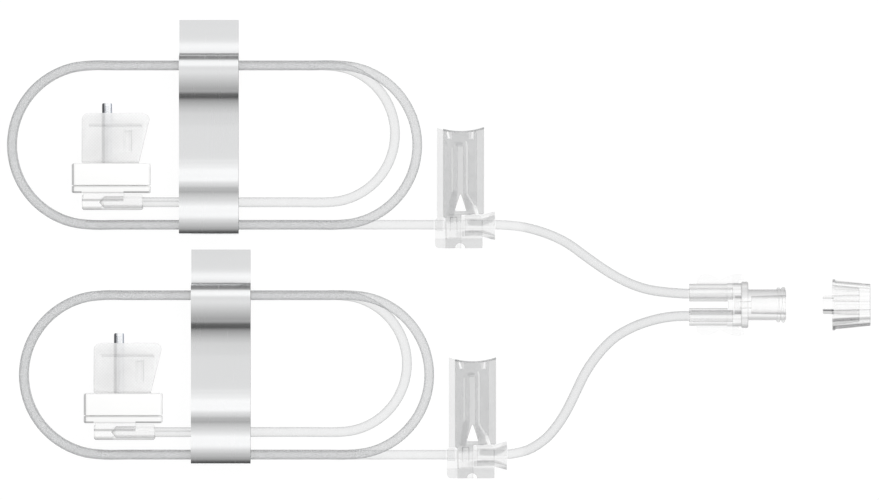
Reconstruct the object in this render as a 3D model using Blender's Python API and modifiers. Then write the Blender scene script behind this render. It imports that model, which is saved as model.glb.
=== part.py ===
"""Subcutaneous infusion set with two legs, laid out flat as it comes from its pack.

Each leg is a coil of fine tubing held by a storage band, with a winged needle on its inner
end and a pinch clamp on its outer run. Both legs enter one branch fitting, which ends in a
tapered socket. The end cap lies in line with that socket, taken off it.
Metres, +Z up. The set lies on Z = 0 and the coils lie side by side along Y.
"""
import math

import bmesh
import bpy
from mathutils import Matrix, Vector

MM = 0.001

# General clearances
FIT_GAP = 0.3 * MM          # air between pieces that touch
WELD = 0.001 * MM           # vertices closer than this are one
ROUND_STEPS = 24            # facets round a turned piece
FINE_STEPS = 12             # facets round a thin pin or bore

# Tubing
TUBE_OD = 2.1 * MM
TUBE_CLEARANCE = 0.25 * MM  # round the tube in a socket
TUBE_POINT_STEP = 5.0 * MM  # distance between the points of a run of tubing

# The two coils
LEG_PITCH = 50.0 * MM       # from one coil's middle to the next, along -Y
LEG_SHIFT = 2.6 * MM        # the second coil's offset along X
COIL_STRAIGHT = 53.5 * MM
COIL_RADIUS = 17.33 * MM    # of the turns' centre line
COIL_TURNS = 3
COIL_TURN_RISE = 2.12 * MM
COIL_ARC_STEPS = 13
INNER_BEND_X = 24.35 * MM   # where the inner run starts its own bend
INNER_START_ANGLE = 52.0    # degrees round that bend, clear of the coil
INNER_RISE_X = 14.0 * MM    # where the inner run starts to rise to the hub
OUTER_START = 9.2 * MM      # past the coil's straight, clear of the coil

# Storage band
BAND_WIDTH = 12.94 * MM
BAND_X = -1.25 * MM         # middle of the band, from the coil's middle
BAND_THICKNESS = 0.2 * MM
BAND_SIDE_SLACK = 0.5 * MM  # the band stands off the coil's outer edge
BAND_WAIST_HEIGHT = 4.9 * MM
BAND_TAIL_LENGTH = 7.8 * MM

# Needle unit: the needle points along +Y, its tube comes in along -X
NEEDLE_X = -23.37 * MM      # from the coil's middle
NEEDLE_OD = 0.5 * MM
NEEDLE_EXPOSED = 9.0 * MM
NEEDLE_POINT = 0.9 * MM     # length of the ground point
BASE_TOP_Y = -3.98 * MM     # the face that lies on the skin
BASE_WIDTH = 17.05 * MM
BASE_DEPTH = 9.0 * MM
BASE_OFFSET = 0.9 * MM      # the base's middle from the needle
BASE_CORNER = 1.0 * MM
BLOCK_THICKNESS = 4.7 * MM
COVER_THICKNESS = 1.45 * MM
HUB_OD = 3.4 * MM
HUB_LENGTH = 13.3 * MM
HUB_OVERHANG = 5.45 * MM    # hub's closed end, left of the needle
HUB_NECK_WIDTH = 9.1 * MM
HUB_NECK_DEPTH = 3.0 * MM
TUBE_SEAT_PAST_NEEDLE = 1.4 * MM

# Needle sheath and wings
SHEATH_OD = 2.2 * MM
SHEATH_LENGTH = 12.8 * MM
SHEATH_END_WALL = 0.6 * MM
SHEATH_BORE_CLEARANCE = 0.3 * MM
WING_THICKNESS = 0.8 * MM
WING_HEIGHT = 10.24 * MM
WING_LEFT = 5.43 * MM       # from the needle to the straight edge
WING_RIGHT_ROOT = 6.95 * MM
WING_RIGHT_TOP = 9.57 * MM
WING_CORNER = 1.3 * MM
WING_GROOVE_DEPTH = 0.3 * MM
WING_GROOVE_WIDTH = 0.6 * MM
WING_GROOVE_DROP = 2.7 * MM  # below the wing's top edge
WING_PANEL_DEPTH = 0.25 * MM
WING_PANEL_LEFT = 3.9 * MM   # both from the needle
WING_PANEL_RIGHT = 5.4 * MM

# Pinch clamp: the tube crosses it near its hinge
CLAMP_X = 53.48 * MM        # from the coil's middle
CLAMP_TUBE_Z = 4.0 * MM
CLAMP_WIDTH = 10.22 * MM
CLAMP_ARM_REACH = 21.1 * MM  # from the tube to the arm's free end
CLAMP_FOOT_REACH = 5.1 * MM  # from the tube to the bottom edge
CLAMP_WALL = 1.4 * MM
CLAMP_TOP_SAG = 0.87 * MM
CLAMP_HINGE_DROP = 4.4 * MM
CLAMP_HINGE_Z = 6.6 * MM
CLAMP_OPEN_ANGLE = 9.0      # degrees, as moulded
CLAMP_BASE_RIGHT = 3.6 * MM  # the rear arm's right edge
CLAMP_LEVER_LEFT = 3.8 * MM  # the front arm's left edge
CLAMP_SLOT_WIDTH = 1.14 * MM
CLAMP_SLOT_MOUTH = 2.7 * MM
CLAMP_SLOT_DROP = 3.8 * MM  # from the arm's free end to the slot
CLAMP_SLOT_FLARE = 6.8 * MM  # from the tube, as the next two
CLAMP_SLOT_FOOT = 1.9 * MM
CLAMP_WINDOW_FOOT = 2.95 * MM
CLAMP_WINDOW_TIP = 0.24 * MM
CLAMP_RIM_INNER = 0.7 * MM  # half widths of the raised rim, along the slot and at its mouth
CLAMP_RIM_OUTER = 1.54 * MM
CLAMP_RIM_INNER_MOUTH = 1.75 * MM
CLAMP_RIM_OUTER_MOUTH = 3.3 * MM
CLAMP_RIM_BAR = 0.55 * MM   # the rim's width across the slot's two ends
CLAMP_RIM_HEIGHT = 0.4 * MM
CLAMP_STRAP_LEFT = 3.3 * MM
CLAMP_STRAP_RIGHT = 0.2 * MM
CLAMP_STRAP_REACH = 2.35 * MM
CLAMP_RIDGE_RADIUS = 0.8 * MM
CLAMP_RIDGE_X = -1.5 * MM
CLAMP_RIDGE_LENGTH = 3.0 * MM
CLAMP_PEG_X = 2.4 * MM
CLAMP_PEG_DROP = 1.5 * MM   # from the arm's free end
CLAMP_PEG_SIZE = (0.5 * MM, 1.0 * MM, 0.8 * MM)
CLAMP_END_WALL = 1.74 * MM
CLAMP_END_BULGE = 0.43 * MM  # the end wall stands out past the arm
CLAMP_NOZZLE_OD = 4.6 * MM
CLAMP_NOZZLE_MOUTH_OD = 6.2 * MM
CLAMP_NOZZLE_BORE = 3.1 * MM
CLAMP_NOZZLE_MOUTH_BORE = 4.6 * MM
CLAMP_NOZZLE_START = 0.9 * MM
CLAMP_NOZZLE_END = 7.5 * MM
CLAMP_NOZZLE_DROP = 0.2 * MM
CLAMP_SLIT_WIDTH = 0.85 * MM

# Branch fitting, along +X
BRANCH_X = 103.2 * MM       # its left face, from the first coil's middle
BRANCH_Y = -34.74 * MM
BRANCH_PORT_PITCH = 4.86 * MM
BRANCH_BARREL_OD = 4.26 * MM
BRANCH_LENGTH = 11.0 * MM
BRANCH_BLOCK_PROUD = 0.12 * MM  # the end block stands out past the ports
BRANCH_SLOT_LENGTH = 8.2 * MM
BRANCH_SLOT_WIDTH = 1.5 * MM
BRANCH_SEAT_DEPTH = 9.2 * MM
BRANCH_TAB_REACH = 6.7 * MM
BRANCH_TAB_WAIST = 5.5 * MM
BRANCH_TAB_THICKNESS = 0.9 * MM
BRANCH_TAB_START = 1.6 * MM
BRANCH_TAB_END = 11.8 * MM
BRANCH_TAB_WAVE = (         # share of the tab's length, share from its waist to its reach
    (0.0, -0.3), (0.025, 0.4), (0.11, 0.87), (0.225, 1.0), (0.36, 0.6), (0.505, 0.0),
    (0.64, 0.55), (0.76, 0.93), (0.87, 1.0), (1.0, 0.95),
)
SOCKET_COLLAR_OD = 10.1 * MM
SOCKET_COLLAR_LENGTH = 1.5 * MM
SOCKET_BARREL_OD = 6.7 * MM
SOCKET_LENGTH = 9.7 * MM    # collar and barrel
SOCKET_SPIGOT_OD = 3.4 * MM
SOCKET_SPIGOT_LENGTH = 1.1 * MM
SOCKET_MOUTH_BORE = 4.3 * MM
SOCKET_TAPER_DEPTH = 7.5 * MM
SOCKET_FLOW_BORE = 1.6 * MM
LUG_OD = 7.8 * MM
LUG_THICKNESS = 0.9 * MM
LUG_RISE = 1.1 * MM
LUG_TURN = 170.0            # degrees that each lug covers
CONE_TAPER = 0.06           # change of diameter for each unit of length

# End cap, lying in line with the socket
CAP_GAP = 8.04 * MM         # from the socket's mouth to the cap's plug
CAP_RIM_OD = 11.1 * MM
CAP_END_OD = 9.4 * MM
CAP_LENGTH = 8.2 * MM
CAP_WALL = 0.8 * MM
CAP_FLOOR = 2.4 * MM
CAP_RIB_COUNT = 26
CAP_RIB_HEIGHT = 0.3 * MM
CAP_RIM_BAND = 0.6 * MM
CAP_RIM_PROUD = 0.15 * MM   # the rim stands out past the ribs
CAP_RIM_BEAD = 0.9 * MM     # and runs this far into the wall
PLUG_TIP_OD = 3.95 * MM
PLUG_REACH = 2.1 * MM       # past the cap's rim

# Sizes that follow from the ones above
TUBE_RADIUS = TUBE_OD / 2
COIL_LIFT = BAND_THICKNESS + FIT_GAP
COIL_FIRST_Z = COIL_LIFT + TUBE_RADIUS
COIL_LAST_Z = COIL_FIRST_Z + (COIL_TURNS - 1) * COIL_TURN_RISE
COIL_TOP_Z = COIL_LAST_Z + TUBE_RADIUS
NEEDLE_Z = BASE_DEPTH / 2
BLOCK_BOTTOM_Y = BASE_TOP_Y - BLOCK_THICKNESS
COVER_TOP_Y = BLOCK_BOTTOM_Y - FIT_GAP
COVER_BOTTOM_Y = COVER_TOP_Y - COVER_THICKNESS
HUB_RADIUS = HUB_OD / 2
HUB_Y = COVER_BOTTOM_Y - FIT_GAP - HUB_RADIUS
HUB_LEFT_X = NEEDLE_X - HUB_OVERHANG
HUB_RIGHT_X = HUB_LEFT_X + HUB_LENGTH
SOCKET_RADIUS = TUBE_RADIUS + TUBE_CLEARANCE
NEEDLE_BORE_RADIUS = NEEDLE_OD / 2 + FIT_GAP
NEEDLE_FOOT_Y = HUB_Y + SOCKET_RADIUS + 0.05 * MM
NEEDLE_TIP_Y = BASE_TOP_Y + NEEDLE_EXPOSED
WING_OFFSET = SHEATH_OD / 2 + FIT_GAP + WING_THICKNESS / 2
WING_HINGE_Y = BASE_TOP_Y + FIT_GAP + WING_THICKNESS / 2
OUTER_RUN_Y = -COIL_RADIUS
BAND_TOP_Z = COIL_TOP_Z + FIT_GAP + BAND_THICKNESS / 2
BAND_SIDE_Y = COIL_RADIUS + TUBE_RADIUS + FIT_GAP + BAND_SIDE_SLACK
BAND_END_Y = BAND_SIDE_Y + BAND_TAIL_LENGTH + BAND_THICKNESS
CAP_AXIS_Z = CAP_RIM_OD / 2
SOCKET_FACE_X = BRANCH_LENGTH + FIT_GAP
SOCKET_MOUTH_X = SOCKET_FACE_X + SOCKET_LENGTH
CAP_RIM_X = SOCKET_MOUTH_X + CAP_GAP + PLUG_REACH

# The origin is below the middle of the rigid pieces
LEFT_EDGE = NEEDLE_X + BASE_OFFSET - BASE_WIDTH / 2
RIGHT_EDGE = BRANCH_X + CAP_RIM_X + CAP_LENGTH
TOP_EDGE = BAND_END_Y
BOTTOM_EDGE = -LEG_PITCH + OUTER_RUN_Y - CLAMP_FOOT_REACH
FIRST_COIL = Vector((-(LEFT_EDGE + RIGHT_EDGE) / 2, -(TOP_EDGE + BOTTOM_EDGE) / 2, 0))
LEGS = {"a": Vector((0, 0, 0)), "b": Vector((LEG_SHIFT, -LEG_PITCH, 0))}

# The free tubing from each clamp to the fitting, from the first coil's middle: X, Y, Z in mm
FREE_RUNS = {
    "a": [
        (62.0, -17.33, 3.9),
        (66.4, -17.7, 3.2),
        (69.9, -18.5, 2.5),
        (73.4, -19.7, 1.9),
        (76.8, -21.4, 1.5),
        (80.3, -23.9, 1.3),
        (83.8, -26.4, 1.3),
        (87.3, -28.6, 1.6),
        (90.8, -30.3, 2.3),
        (94.2, -31.4, 3.5),
        (97.7, -31.95, 4.7),
        (100.6, -32.2, 5.4),
    ],
    "b": [
        (64.3, -67.2, 3.9),
        (68.2, -66.3, 3.3),
        (71.6, -64.2, 2.6),
        (73.5, -62.3, 2.3),
        (75.3, -59.9, 1.9),
        (77.0, -57.0, 1.6),
        (78.6, -53.7, 1.4),
        (80.3, -50.2, 1.3),
        (82.1, -47.3, 1.3),
        (84.4, -44.4, 1.5),
        (87.3, -41.7, 2.0),
        (90.8, -39.7, 2.9),
        (94.2, -38.4, 3.9),
        (97.7, -37.55, 4.9),
        (100.6, -37.22, 5.45),
    ],
}

AXES = {
    "XY": Matrix(((1, 0, 0, 0), (0, 1, 0, 0), (0, 0, 1, 0), (0, 0, 0, 1))),
    "XZ": Matrix(((1, 0, 0, 0), (0, 0, -1, 0), (0, 1, 0, 0), (0, 0, 0, 1))),
}
TURNS = {"X": (0, math.pi / 2, 0), "Y": (-math.pi / 2, 0, 0), "Z": (0, 0, 0)}


def empty_scene():
    """Removes what the file opened with and makes the two collections."""
    for old in list(bpy.data.objects):
        bpy.data.objects.remove(old, do_unlink=True)
    for name in ("subcutaneous_infusion_set", "shaping_tools"):
        bpy.context.scene.collection.children.link(bpy.data.collections.new(name))


def finish(name, colour, roughness, metallic=0.0, alpha=1.0):
    """A material with one Principled shader."""
    material = bpy.data.materials.new(name)
    material.use_nodes = True
    shader = material.node_tree.nodes["Principled BSDF"]
    shader.inputs["Base Color"].default_value = (*colour, 1.0)
    shader.inputs["Roughness"].default_value = roughness
    shader.inputs["Metallic"].default_value = metallic
    shader.inputs["Alpha"].default_value = alpha
    return material


def make_finishes():
    """Every finish of the set, by name."""
    return {
        "tubing": finish("clear_tubing", (0.80, 0.82, 0.84), 0.2, alpha=0.5),
        "band": finish("satin_band", (0.74, 0.75, 0.76), 0.35, metallic=0.6),
        "white": finish("white_moulding", (0.90, 0.90, 0.88), 0.45),
        "clear": finish("clear_moulding", (0.82, 0.84, 0.86), 0.15, alpha=0.45),
        "wing": finish("frosted_wing", (0.86, 0.87, 0.87), 0.55, alpha=0.7),
        "sheath": finish("sheath_plastic", (0.70, 0.76, 0.80), 0.2, alpha=0.6),
        "steel": finish("needle_steel", (0.62, 0.63, 0.65), 0.25, metallic=1.0),
    }


def empty(name, parent, place):
    """An empty that carries the pieces of one group."""
    holder = bpy.data.objects.new(name, None)
    bpy.data.collections["subcutaneous_infusion_set"].objects.link(holder)
    holder.parent = parent
    holder.location = place
    return holder


def add(name, data, parent, place=(0, 0, 0), turn=(0, 0, 0), material=None):
    """Puts a mesh or curve in the scene: a piece if it has a material, else a shaping tool."""
    piece = bpy.data.objects.new(name, data)
    group = "subcutaneous_infusion_set" if material else "shaping_tools"
    bpy.data.collections[group].objects.link(piece)
    piece.parent = parent
    piece.location = place
    piece.rotation_euler = turn
    if material:
        data.materials.append(material)
    else:
        piece.hide_render = True
        piece.display_type = "WIRE"
    return piece


def shape(piece, tool, operation):
    """Cuts a tool out of a piece, or joins it on."""
    change = piece.modifiers.new(tool.name, "BOOLEAN")
    change.operation = operation
    change.solver = "EXACT"
    change.object = tool
    return piece


def mesh_from(bm, name, sharp_angle=35.0):
    """Ends a bmesh as a mesh, smooth where it is round."""
    bmesh.ops.recalc_face_normals(bm, faces=bm.faces)
    mesh = bpy.data.meshes.new(name)
    bm.to_mesh(mesh)
    bm.free()
    mesh.shade_smooth()
    mesh.set_sharp_from_angle(angle=math.radians(sharp_angle))
    return mesh


def box(name, low, high):
    """A box between two corners."""
    low, high = Vector(low), Vector(high)
    bm = bmesh.new()
    bmesh.ops.create_cube(bm, size=1.0)
    bmesh.ops.scale(bm, vec=high - low, verts=bm.verts)
    bmesh.ops.translate(bm, vec=(low + high) / 2, verts=bm.verts)
    return mesh_from(bm, name)


def rod(name, radius, start, length, steps=FINE_STEPS):
    """A rod along local Z from start."""
    bm = bmesh.new()
    bmesh.ops.create_cone(
        bm, cap_ends=True, segments=steps, radius1=radius, radius2=radius, depth=length
    )
    bmesh.ops.translate(bm, vec=(0, 0, start + length / 2), verts=bm.verts)
    return mesh_from(bm, name)


def turned(name, profile, closed, parent, place, axis, material=None, steps=ROUND_STEPS):
    """A profile of (radius, distance along the axis), turned by a Screw."""
    bm = bmesh.new()
    points = [bm.verts.new((radius, 0, along)) for radius, along in profile]
    for first, second in zip(points, points[1:]):
        bm.edges.new((first, second))
    if closed:
        bm.edges.new((points[-1], points[0]))
    mesh = bpy.data.meshes.new(name)
    bm.to_mesh(mesh)
    bm.free()
    piece = add(name, mesh, parent, place, TURNS[axis], material)
    screw = piece.modifiers.new("turn", "SCREW")
    screw.steps = steps
    screw.render_steps = steps
    screw.use_merge_vertices = True
    screw.merge_threshold = WELD
    return piece


def filled(name, outlines, thickness, plane="XY"):
    """Flat outlines filled and thickened about their own plane.

    The curve is filled at its size in millimetres, then brought to metres.
    """
    curve = bpy.data.curves.new(name, "CURVE")
    curve.dimensions = "2D"
    curve.fill_mode = "BOTH"
    curve.extrude = thickness / MM / 2
    for outline in outlines:
        spline = curve.splines.new("POLY")
        spline.points.add(len(outline) - 1)
        for point, (across, up) in zip(spline.points, outline):
            point.co = (across / MM, up / MM, 0, 1)
        spline.use_cyclic_u = True
    mesh = solid_from(curve, name, MM)
    mesh.transform(AXES[plane])
    return mesh


def solid_from(curve, name, scale=1.0):
    """A curve's evaluated shape as a welded mesh."""
    holder = bpy.data.objects.new(name + "_outline", curve)
    bpy.context.scene.collection.objects.link(holder)
    bpy.context.view_layer.update()
    evaluated = holder.evaluated_get(bpy.context.evaluated_depsgraph_get())
    raw = bpy.data.meshes.new_from_object(evaluated)
    bpy.data.objects.remove(holder)
    bm = bmesh.new()
    bm.from_mesh(raw)
    bpy.data.meshes.remove(raw)
    bmesh.ops.scale(bm, vec=(scale, scale, scale), verts=bm.verts)
    bmesh.ops.remove_doubles(bm, verts=bm.verts, dist=WELD)
    return mesh_from(bm, name)


def rounded(corners, radii, steps=4):
    """A closed outline whose corners are rounded, each to its own radius."""
    points = []
    for index, radius in enumerate(radii):
        here = Vector(corners[index])
        to_last = (Vector(corners[index - 1]) - here).normalized()
        to_next = (Vector(corners[(index + 1) % len(corners)]) - here).normalized()
        if radius <= 0:
            points.append(here)
            continue
        half = to_last.angle(to_next) / 2
        centre = here + (to_last + to_next).normalized() * (radius / math.sin(half))
        start = here + to_last * (radius / math.tan(half)) - centre
        end = here + to_next * (radius / math.tan(half)) - centre
        for step in range(steps + 1):
            points.append(centre + start.lerp(end, step / steps).normalized() * radius)
    return points


def smooth(points, step):
    """Points about a step apart on one smooth curve through the given points."""
    points = [Vector(point) for point in points]
    before = points[0] * 2 - points[1]
    after = points[-1] * 2 - points[-2]
    ends = [before, *points, after]
    dense = []
    for first, start, stop, last in zip(ends, ends[1:], ends[2:], ends[3:]):
        for index in range(16):
            share = index / 16
            dense.append(
                start
                + (stop - first) * (share / 2)
                + (first * 2 - start * 5 + stop * 4 - last) * (share**2 / 2)
                + (start * 3 - first - stop * 3 + last) * (share**3 / 2)
            )
    dense.append(points[-1])
    lengths = [0.0]
    for start, stop in zip(dense, dense[1:]):
        lengths.append(lengths[-1] + (stop - start).length)
    count = max(2, round(lengths[-1] / step))
    found, index = [], 0
    for number in range(count + 1):
        reach = lengths[-1] * number / count
        while index < len(dense) - 2 and lengths[index + 1] < reach:
            index += 1
        span = lengths[index + 1] - lengths[index]
        found.append(dense[index].lerp(dense[index + 1], (reach - lengths[index]) / span))
    return found


def tube(name, points, radius, parent, material):
    """A plain tube through points."""
    curve = bpy.data.curves.new(name, "CURVE")
    curve.dimensions = "3D"
    curve.bevel_depth = radius
    curve.bevel_resolution = 2
    curve.use_fill_caps = True
    spline = curve.splines.new("POLY")
    spline.points.add(len(points) - 1)
    for point, place in zip(spline.points, points):
        point.co = (*place, 1)
    return add(name, curve, parent, material=material)


def ease(share):
    """A smooth step from 0 to 1."""
    share = min(max(share, 0.0), 1.0)
    return share * share * (3 - 2 * share)


def stadium(radius, half_straight, steps):
    """Points once round a straight-sided loop."""
    points = []
    for side in (1, -1):
        for step in range(steps + 1):
            angle = math.pi * (step / steps - 0.5)
            points.append(
                (
                    side * (half_straight + radius * math.cos(angle)),
                    side * radius * math.sin(angle),
                )
            )
    return points


def coil(side, leg, finishes):
    """The stacked turns of one coil: a section of round lobes swept round the loop."""
    section = bpy.data.curves.new("coil_section_" + side, "CURVE")
    section.dimensions = "2D"
    lobe = section.splines.new("POLY")
    half = (COIL_TURNS - 1) / 2
    waist = math.acos(min(1.0, COIL_TURN_RISE / TUBE_OD * 0.93))
    corners = []
    for edge in (1, -1):
        for turn in range(COIL_TURNS):
            middle = edge * (half - turn) * COIL_TURN_RISE
            first = math.pi / 2 if turn == 0 else math.pi / 2 - waist
            last = -math.pi / 2 if turn == COIL_TURNS - 1 else -math.pi / 2 + waist
            for step in range(4):
                angle = first + (last - first) * (step + 0.5) / 4
                corners.append(
                    (
                        edge * TUBE_RADIUS * math.cos(angle),
                        middle + edge * TUBE_RADIUS * math.sin(angle),
                    )
                )
    lobe.points.add(len(corners) - 1)
    for point, (across, up) in zip(lobe.points, corners):
        point.co = (across, up, 0, 1)
    lobe.use_cyclic_u = True
    guide = add("coil_section_" + side, section, leg)

    path = bpy.data.curves.new("tubing_coil_" + side, "CURVE")
    path.dimensions = "3D"
    path.twist_mode = "Z_UP"
    path.bevel_mode = "OBJECT"
    path.bevel_object = guide
    loop = path.splines.new("POLY")
    route = stadium(COIL_RADIUS, COIL_STRAIGHT / 2, COIL_ARC_STEPS)
    loop.points.add(len(route) - 1)
    for point, (across, up) in zip(loop.points, route):
        point.co = (across, up, 0, 1)
    loop.use_cyclic_u = True
    mesh = solid_from(path, "tubing_coil_" + side)
    bpy.data.objects.remove(guide)
    height = (COIL_FIRST_Z + COIL_LAST_Z) / 2
    return add("tubing_coil_" + side, mesh, leg, (0, 0, height), material=finishes["tubing"])


def inner_route():
    """The inner run of tubing, from the coil's lowest turn to the needle hub."""
    bend = (COIL_RADIUS - HUB_Y) / 2
    middle_y = COIL_RADIUS - bend
    points = []
    for angle in range(int(INNER_START_ANGLE), 181, 16):
        turn = math.radians(angle)
        across = INNER_BEND_X + bend * math.sin(turn)
        points.append((across, middle_y + bend * math.cos(turn), COIL_FIRST_Z))
    seat = NEEDLE_X - TUBE_SEAT_PAST_NEEDLE
    for share in (0.1, 0.25, 0.4, 0.5, 0.6, 0.7, 0.8, 0.9, 1.0):
        across = INNER_BEND_X + (seat - INNER_BEND_X) * share
        lift = ease((INNER_RISE_X - across) / (INNER_RISE_X - HUB_RIGHT_X - 1.5 * MM))
        points.append((across, HUB_Y, COIL_FIRST_Z + (NEEDLE_Z - COIL_FIRST_Z) * lift))
    return points


def outer_route(side):
    """The outer run, from the coil's top turn through the clamp to the fitting."""
    origin = LEGS[side]
    start = COIL_STRAIGHT / 2 + OUTER_START
    end_wall = CLAMP_X - CLAMP_WIDTH / 2 - 1.5 * MM
    points = []
    for share in (0.0, 0.35, 0.7, 1.0):
        across = start + (end_wall - start) * share
        drop = (COIL_LAST_Z - CLAMP_TUBE_Z) * ease(share)
        points.append((across, OUTER_RUN_Y, COIL_LAST_Z - drop))
    for across in (CLAMP_X - 1.5 * MM, CLAMP_X + 2 * MM, CLAMP_X + 6 * MM):
        points.append((across, OUTER_RUN_Y, CLAMP_TUBE_Z))
    points = [Vector(point) + origin for point in points]
    points += [Vector(point) * MM for point in FREE_RUNS[side]]
    port = BRANCH_PORT_PITCH / 2 * (1 if side == "a" else -1)
    for depth in (-0.6 * MM, 3 * MM, 6 * MM, BRANCH_SEAT_DEPTH):
        points.append(Vector((BRANCH_X + depth, BRANCH_Y + port, CAP_AXIS_Z)))
    return points


def tubing(side, leg, whole, finishes):
    """One leg's tubing: its coil and its two runs."""
    coil(side, leg, finishes)
    inner = smooth(inner_route(), TUBE_POINT_STEP)
    tube("tubing_needle_end_" + side, inner, TUBE_RADIUS, leg, finishes["tubing"])
    outer = smooth(outer_route(side), TUBE_POINT_STEP)
    tube("tubing_connector_end_" + side, outer, TUBE_RADIUS, whole, finishes["tubing"])


def band_loop():
    """The band's middle line round the coil, as (Y, Z) from the coil's middle."""
    crest = BAND_TOP_Z
    waist = BAND_WAIST_HEIGHT - BAND_THICKNESS / 2
    floor = BAND_THICKNESS / 2
    over_inner = NEEDLE_Z + TUBE_RADIUS
    reach = COIL_RADIUS
    side = BAND_SIDE_Y
    return [
        (side + 0.2 * MM, BAND_THICKNESS),
        (side - 0.05 * MM, crest * 0.25),
        (side - 0.25 * MM, crest * 0.55),
        (reach + 1.35 * MM, crest * 0.83),
        (reach + 0.95 * MM, crest - 0.42 * MM),
        (reach, crest + 0.06 * MM),
        (reach - 2.6 * MM, crest - 0.2 * MM),
        (reach - 4.8 * MM, (crest + waist) / 2 + 0.55 * MM),
        (reach - 6.9 * MM, (crest + waist) / 2 - 0.2 * MM),
        (reach - 9.2 * MM, waist + 0.42 * MM),
        (reach - 12.5 * MM, waist + 0.08 * MM),
        (0.0, waist),
        (HUB_Y + 8.3 * MM, waist + 0.05 * MM),
        (HUB_Y + 5.5 * MM, waist + 0.35 * MM),
        (HUB_Y + 3.8 * MM, over_inner + 0.05 * MM),
        (HUB_Y + 2.0 * MM, over_inner),
        (HUB_Y, over_inner + 0.1 * MM),
        (1.5 * MM - reach + 1.7 * MM, (crest + over_inner) / 2 - 0.2 * MM),
        (1.5 * MM - reach, crest - 0.25 * MM),
        (-reach, crest + 0.06 * MM),
        (-reach - 1.0 * MM, crest - 0.45 * MM),
        (0.1 * MM - side, crest * 0.72),
        (-side, crest * 0.45),
        (0.15 * MM - side, crest * 0.2),
        (0.7 * MM - side, floor + 0.2 * MM),
        (1.6 * MM - side, floor),
        (-reach / 2, floor),
        (0.0, floor),
        (reach / 2, floor),
        (reach, floor),
    ]


def storage_band(side, leg, finishes):
    """One strip round the coil, its two ends lying together as a flat tail."""
    line = [Vector((0, across, up)) for across, up in band_loop()]
    ring = smooth([*line, line[0]], 0.9 * MM)[:-1]
    ring = [spot for index, spot in enumerate(ring) if abs(spot.y) > 14 * MM or index % 2]
    for spot in ring:
        spot.z = max(spot.z, BAND_THICKNESS / 2)
    bm = bmesh.new()
    start = [bm.verts.new(spot - Vector((BAND_WIDTH / 2, 0, 0))) for spot in ring]
    edges = [bm.edges.new(pair) for pair in zip(start, start[1:] + start[:1])]
    swept = bmesh.ops.extrude_edge_only(bm, edges=edges)["geom"]
    moved = [item for item in swept if isinstance(item, bmesh.types.BMVert)]
    bmesh.ops.translate(bm, vec=(BAND_WIDTH, 0, 0), verts=moved)
    mesh = mesh_from(bm, "storage_band_" + side)
    band = add(
        "storage_band_" + side, mesh, leg, (BAND_X, 0, 0), material=finishes["band"]
    )
    wall = band.modifiers.new("thickness", "SOLIDIFY")
    wall.thickness = BAND_THICKNESS
    wall.offset = 0.0
    wall.use_even_offset = True
    tail = add(
        "band_tail_" + side,
        box(
            "band_tail_" + side,
            (-BAND_WIDTH / 2, BAND_SIDE_Y - 0.35 * MM, 0),
            (BAND_WIDTH / 2, BAND_END_Y, 2 * BAND_THICKNESS),
        ),
        leg,
        (BAND_X, 0, 0),
    )
    return shape(band, tail, "UNION")


def base_outline():
    """The rounded rectangle of the needle's base, in X and Z."""
    left = NEEDLE_X + BASE_OFFSET - BASE_WIDTH / 2
    right = left + BASE_WIDTH
    corners = [(left, 0), (right, 0), (right, BASE_DEPTH), (left, BASE_DEPTH)]
    return rounded(corners, [BASE_CORNER] * 4)


def needle_bore(name, leg, low, high):
    """A tool for the needle's way through the base."""
    mesh = rod(name, NEEDLE_BORE_RADIUS, low, high - low)
    return add(name, mesh, leg, (NEEDLE_X, 0, NEEDLE_Z), TURNS["Y"])


def needle_base(side, leg, finishes):
    """The white block on the skin side and the cover plate behind it."""
    for name, low, thickness in (
        ("base_block_", BLOCK_BOTTOM_Y, BLOCK_THICKNESS),
        ("base_cover_", COVER_BOTTOM_Y, COVER_THICKNESS),
    ):
        mesh = filled(name + side, [base_outline()], thickness, "XZ")
        place = (0, low + thickness / 2, 0)
        piece = add(name + side, mesh, leg, place, material=finishes["white"])
        bore = needle_bore(name + "bore_" + side, leg, low - 1 * MM, low + thickness + 1 * MM)
        shape(piece, bore, "DIFFERENCE")


def tube_hub(side, leg, finishes):
    """The clear side-entry hub: a barrel for the tube and a neck against the cover."""
    chamfer = 0.3 * MM
    profile = [
        (0, HUB_LENGTH),
        (HUB_RADIUS - chamfer, HUB_LENGTH),
        (HUB_RADIUS, HUB_LENGTH - chamfer),
        (HUB_RADIUS, chamfer),
        (HUB_RADIUS - chamfer, 0),
        (0, 0),
    ]
    hub = turned(
        "tube_hub_" + side, profile, False, leg, (HUB_LEFT_X, HUB_Y, NEEDLE_Z), "X",
        finishes["clear"],
    )
    neck_low = (HUB_LEFT_X + chamfer, HUB_Y, NEEDLE_Z - HUB_NECK_DEPTH / 2)
    neck_high = (
        HUB_LEFT_X + HUB_NECK_WIDTH,
        COVER_BOTTOM_Y - FIT_GAP / 2,
        NEEDLE_Z + HUB_NECK_DEPTH / 2,
    )
    neck = add("hub_neck_" + side, box("hub_neck_" + side, neck_low, neck_high), leg)
    shape(hub, neck, "UNION")
    seat = NEEDLE_X - TUBE_SEAT_PAST_NEEDLE - FIT_GAP
    socket = add(
        "hub_socket_" + side,
        rod("hub_socket_" + side, SOCKET_RADIUS, seat, HUB_RIGHT_X - seat + 1 * MM, 16),
        leg,
        (0, HUB_Y, NEEDLE_Z),
        TURNS["X"],
    )
    shape(hub, socket, "DIFFERENCE")
    well = needle_bore("hub_well_" + side, leg, HUB_Y, COVER_BOTTOM_Y + 1 * MM)
    shape(hub, well, "DIFFERENCE")


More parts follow.
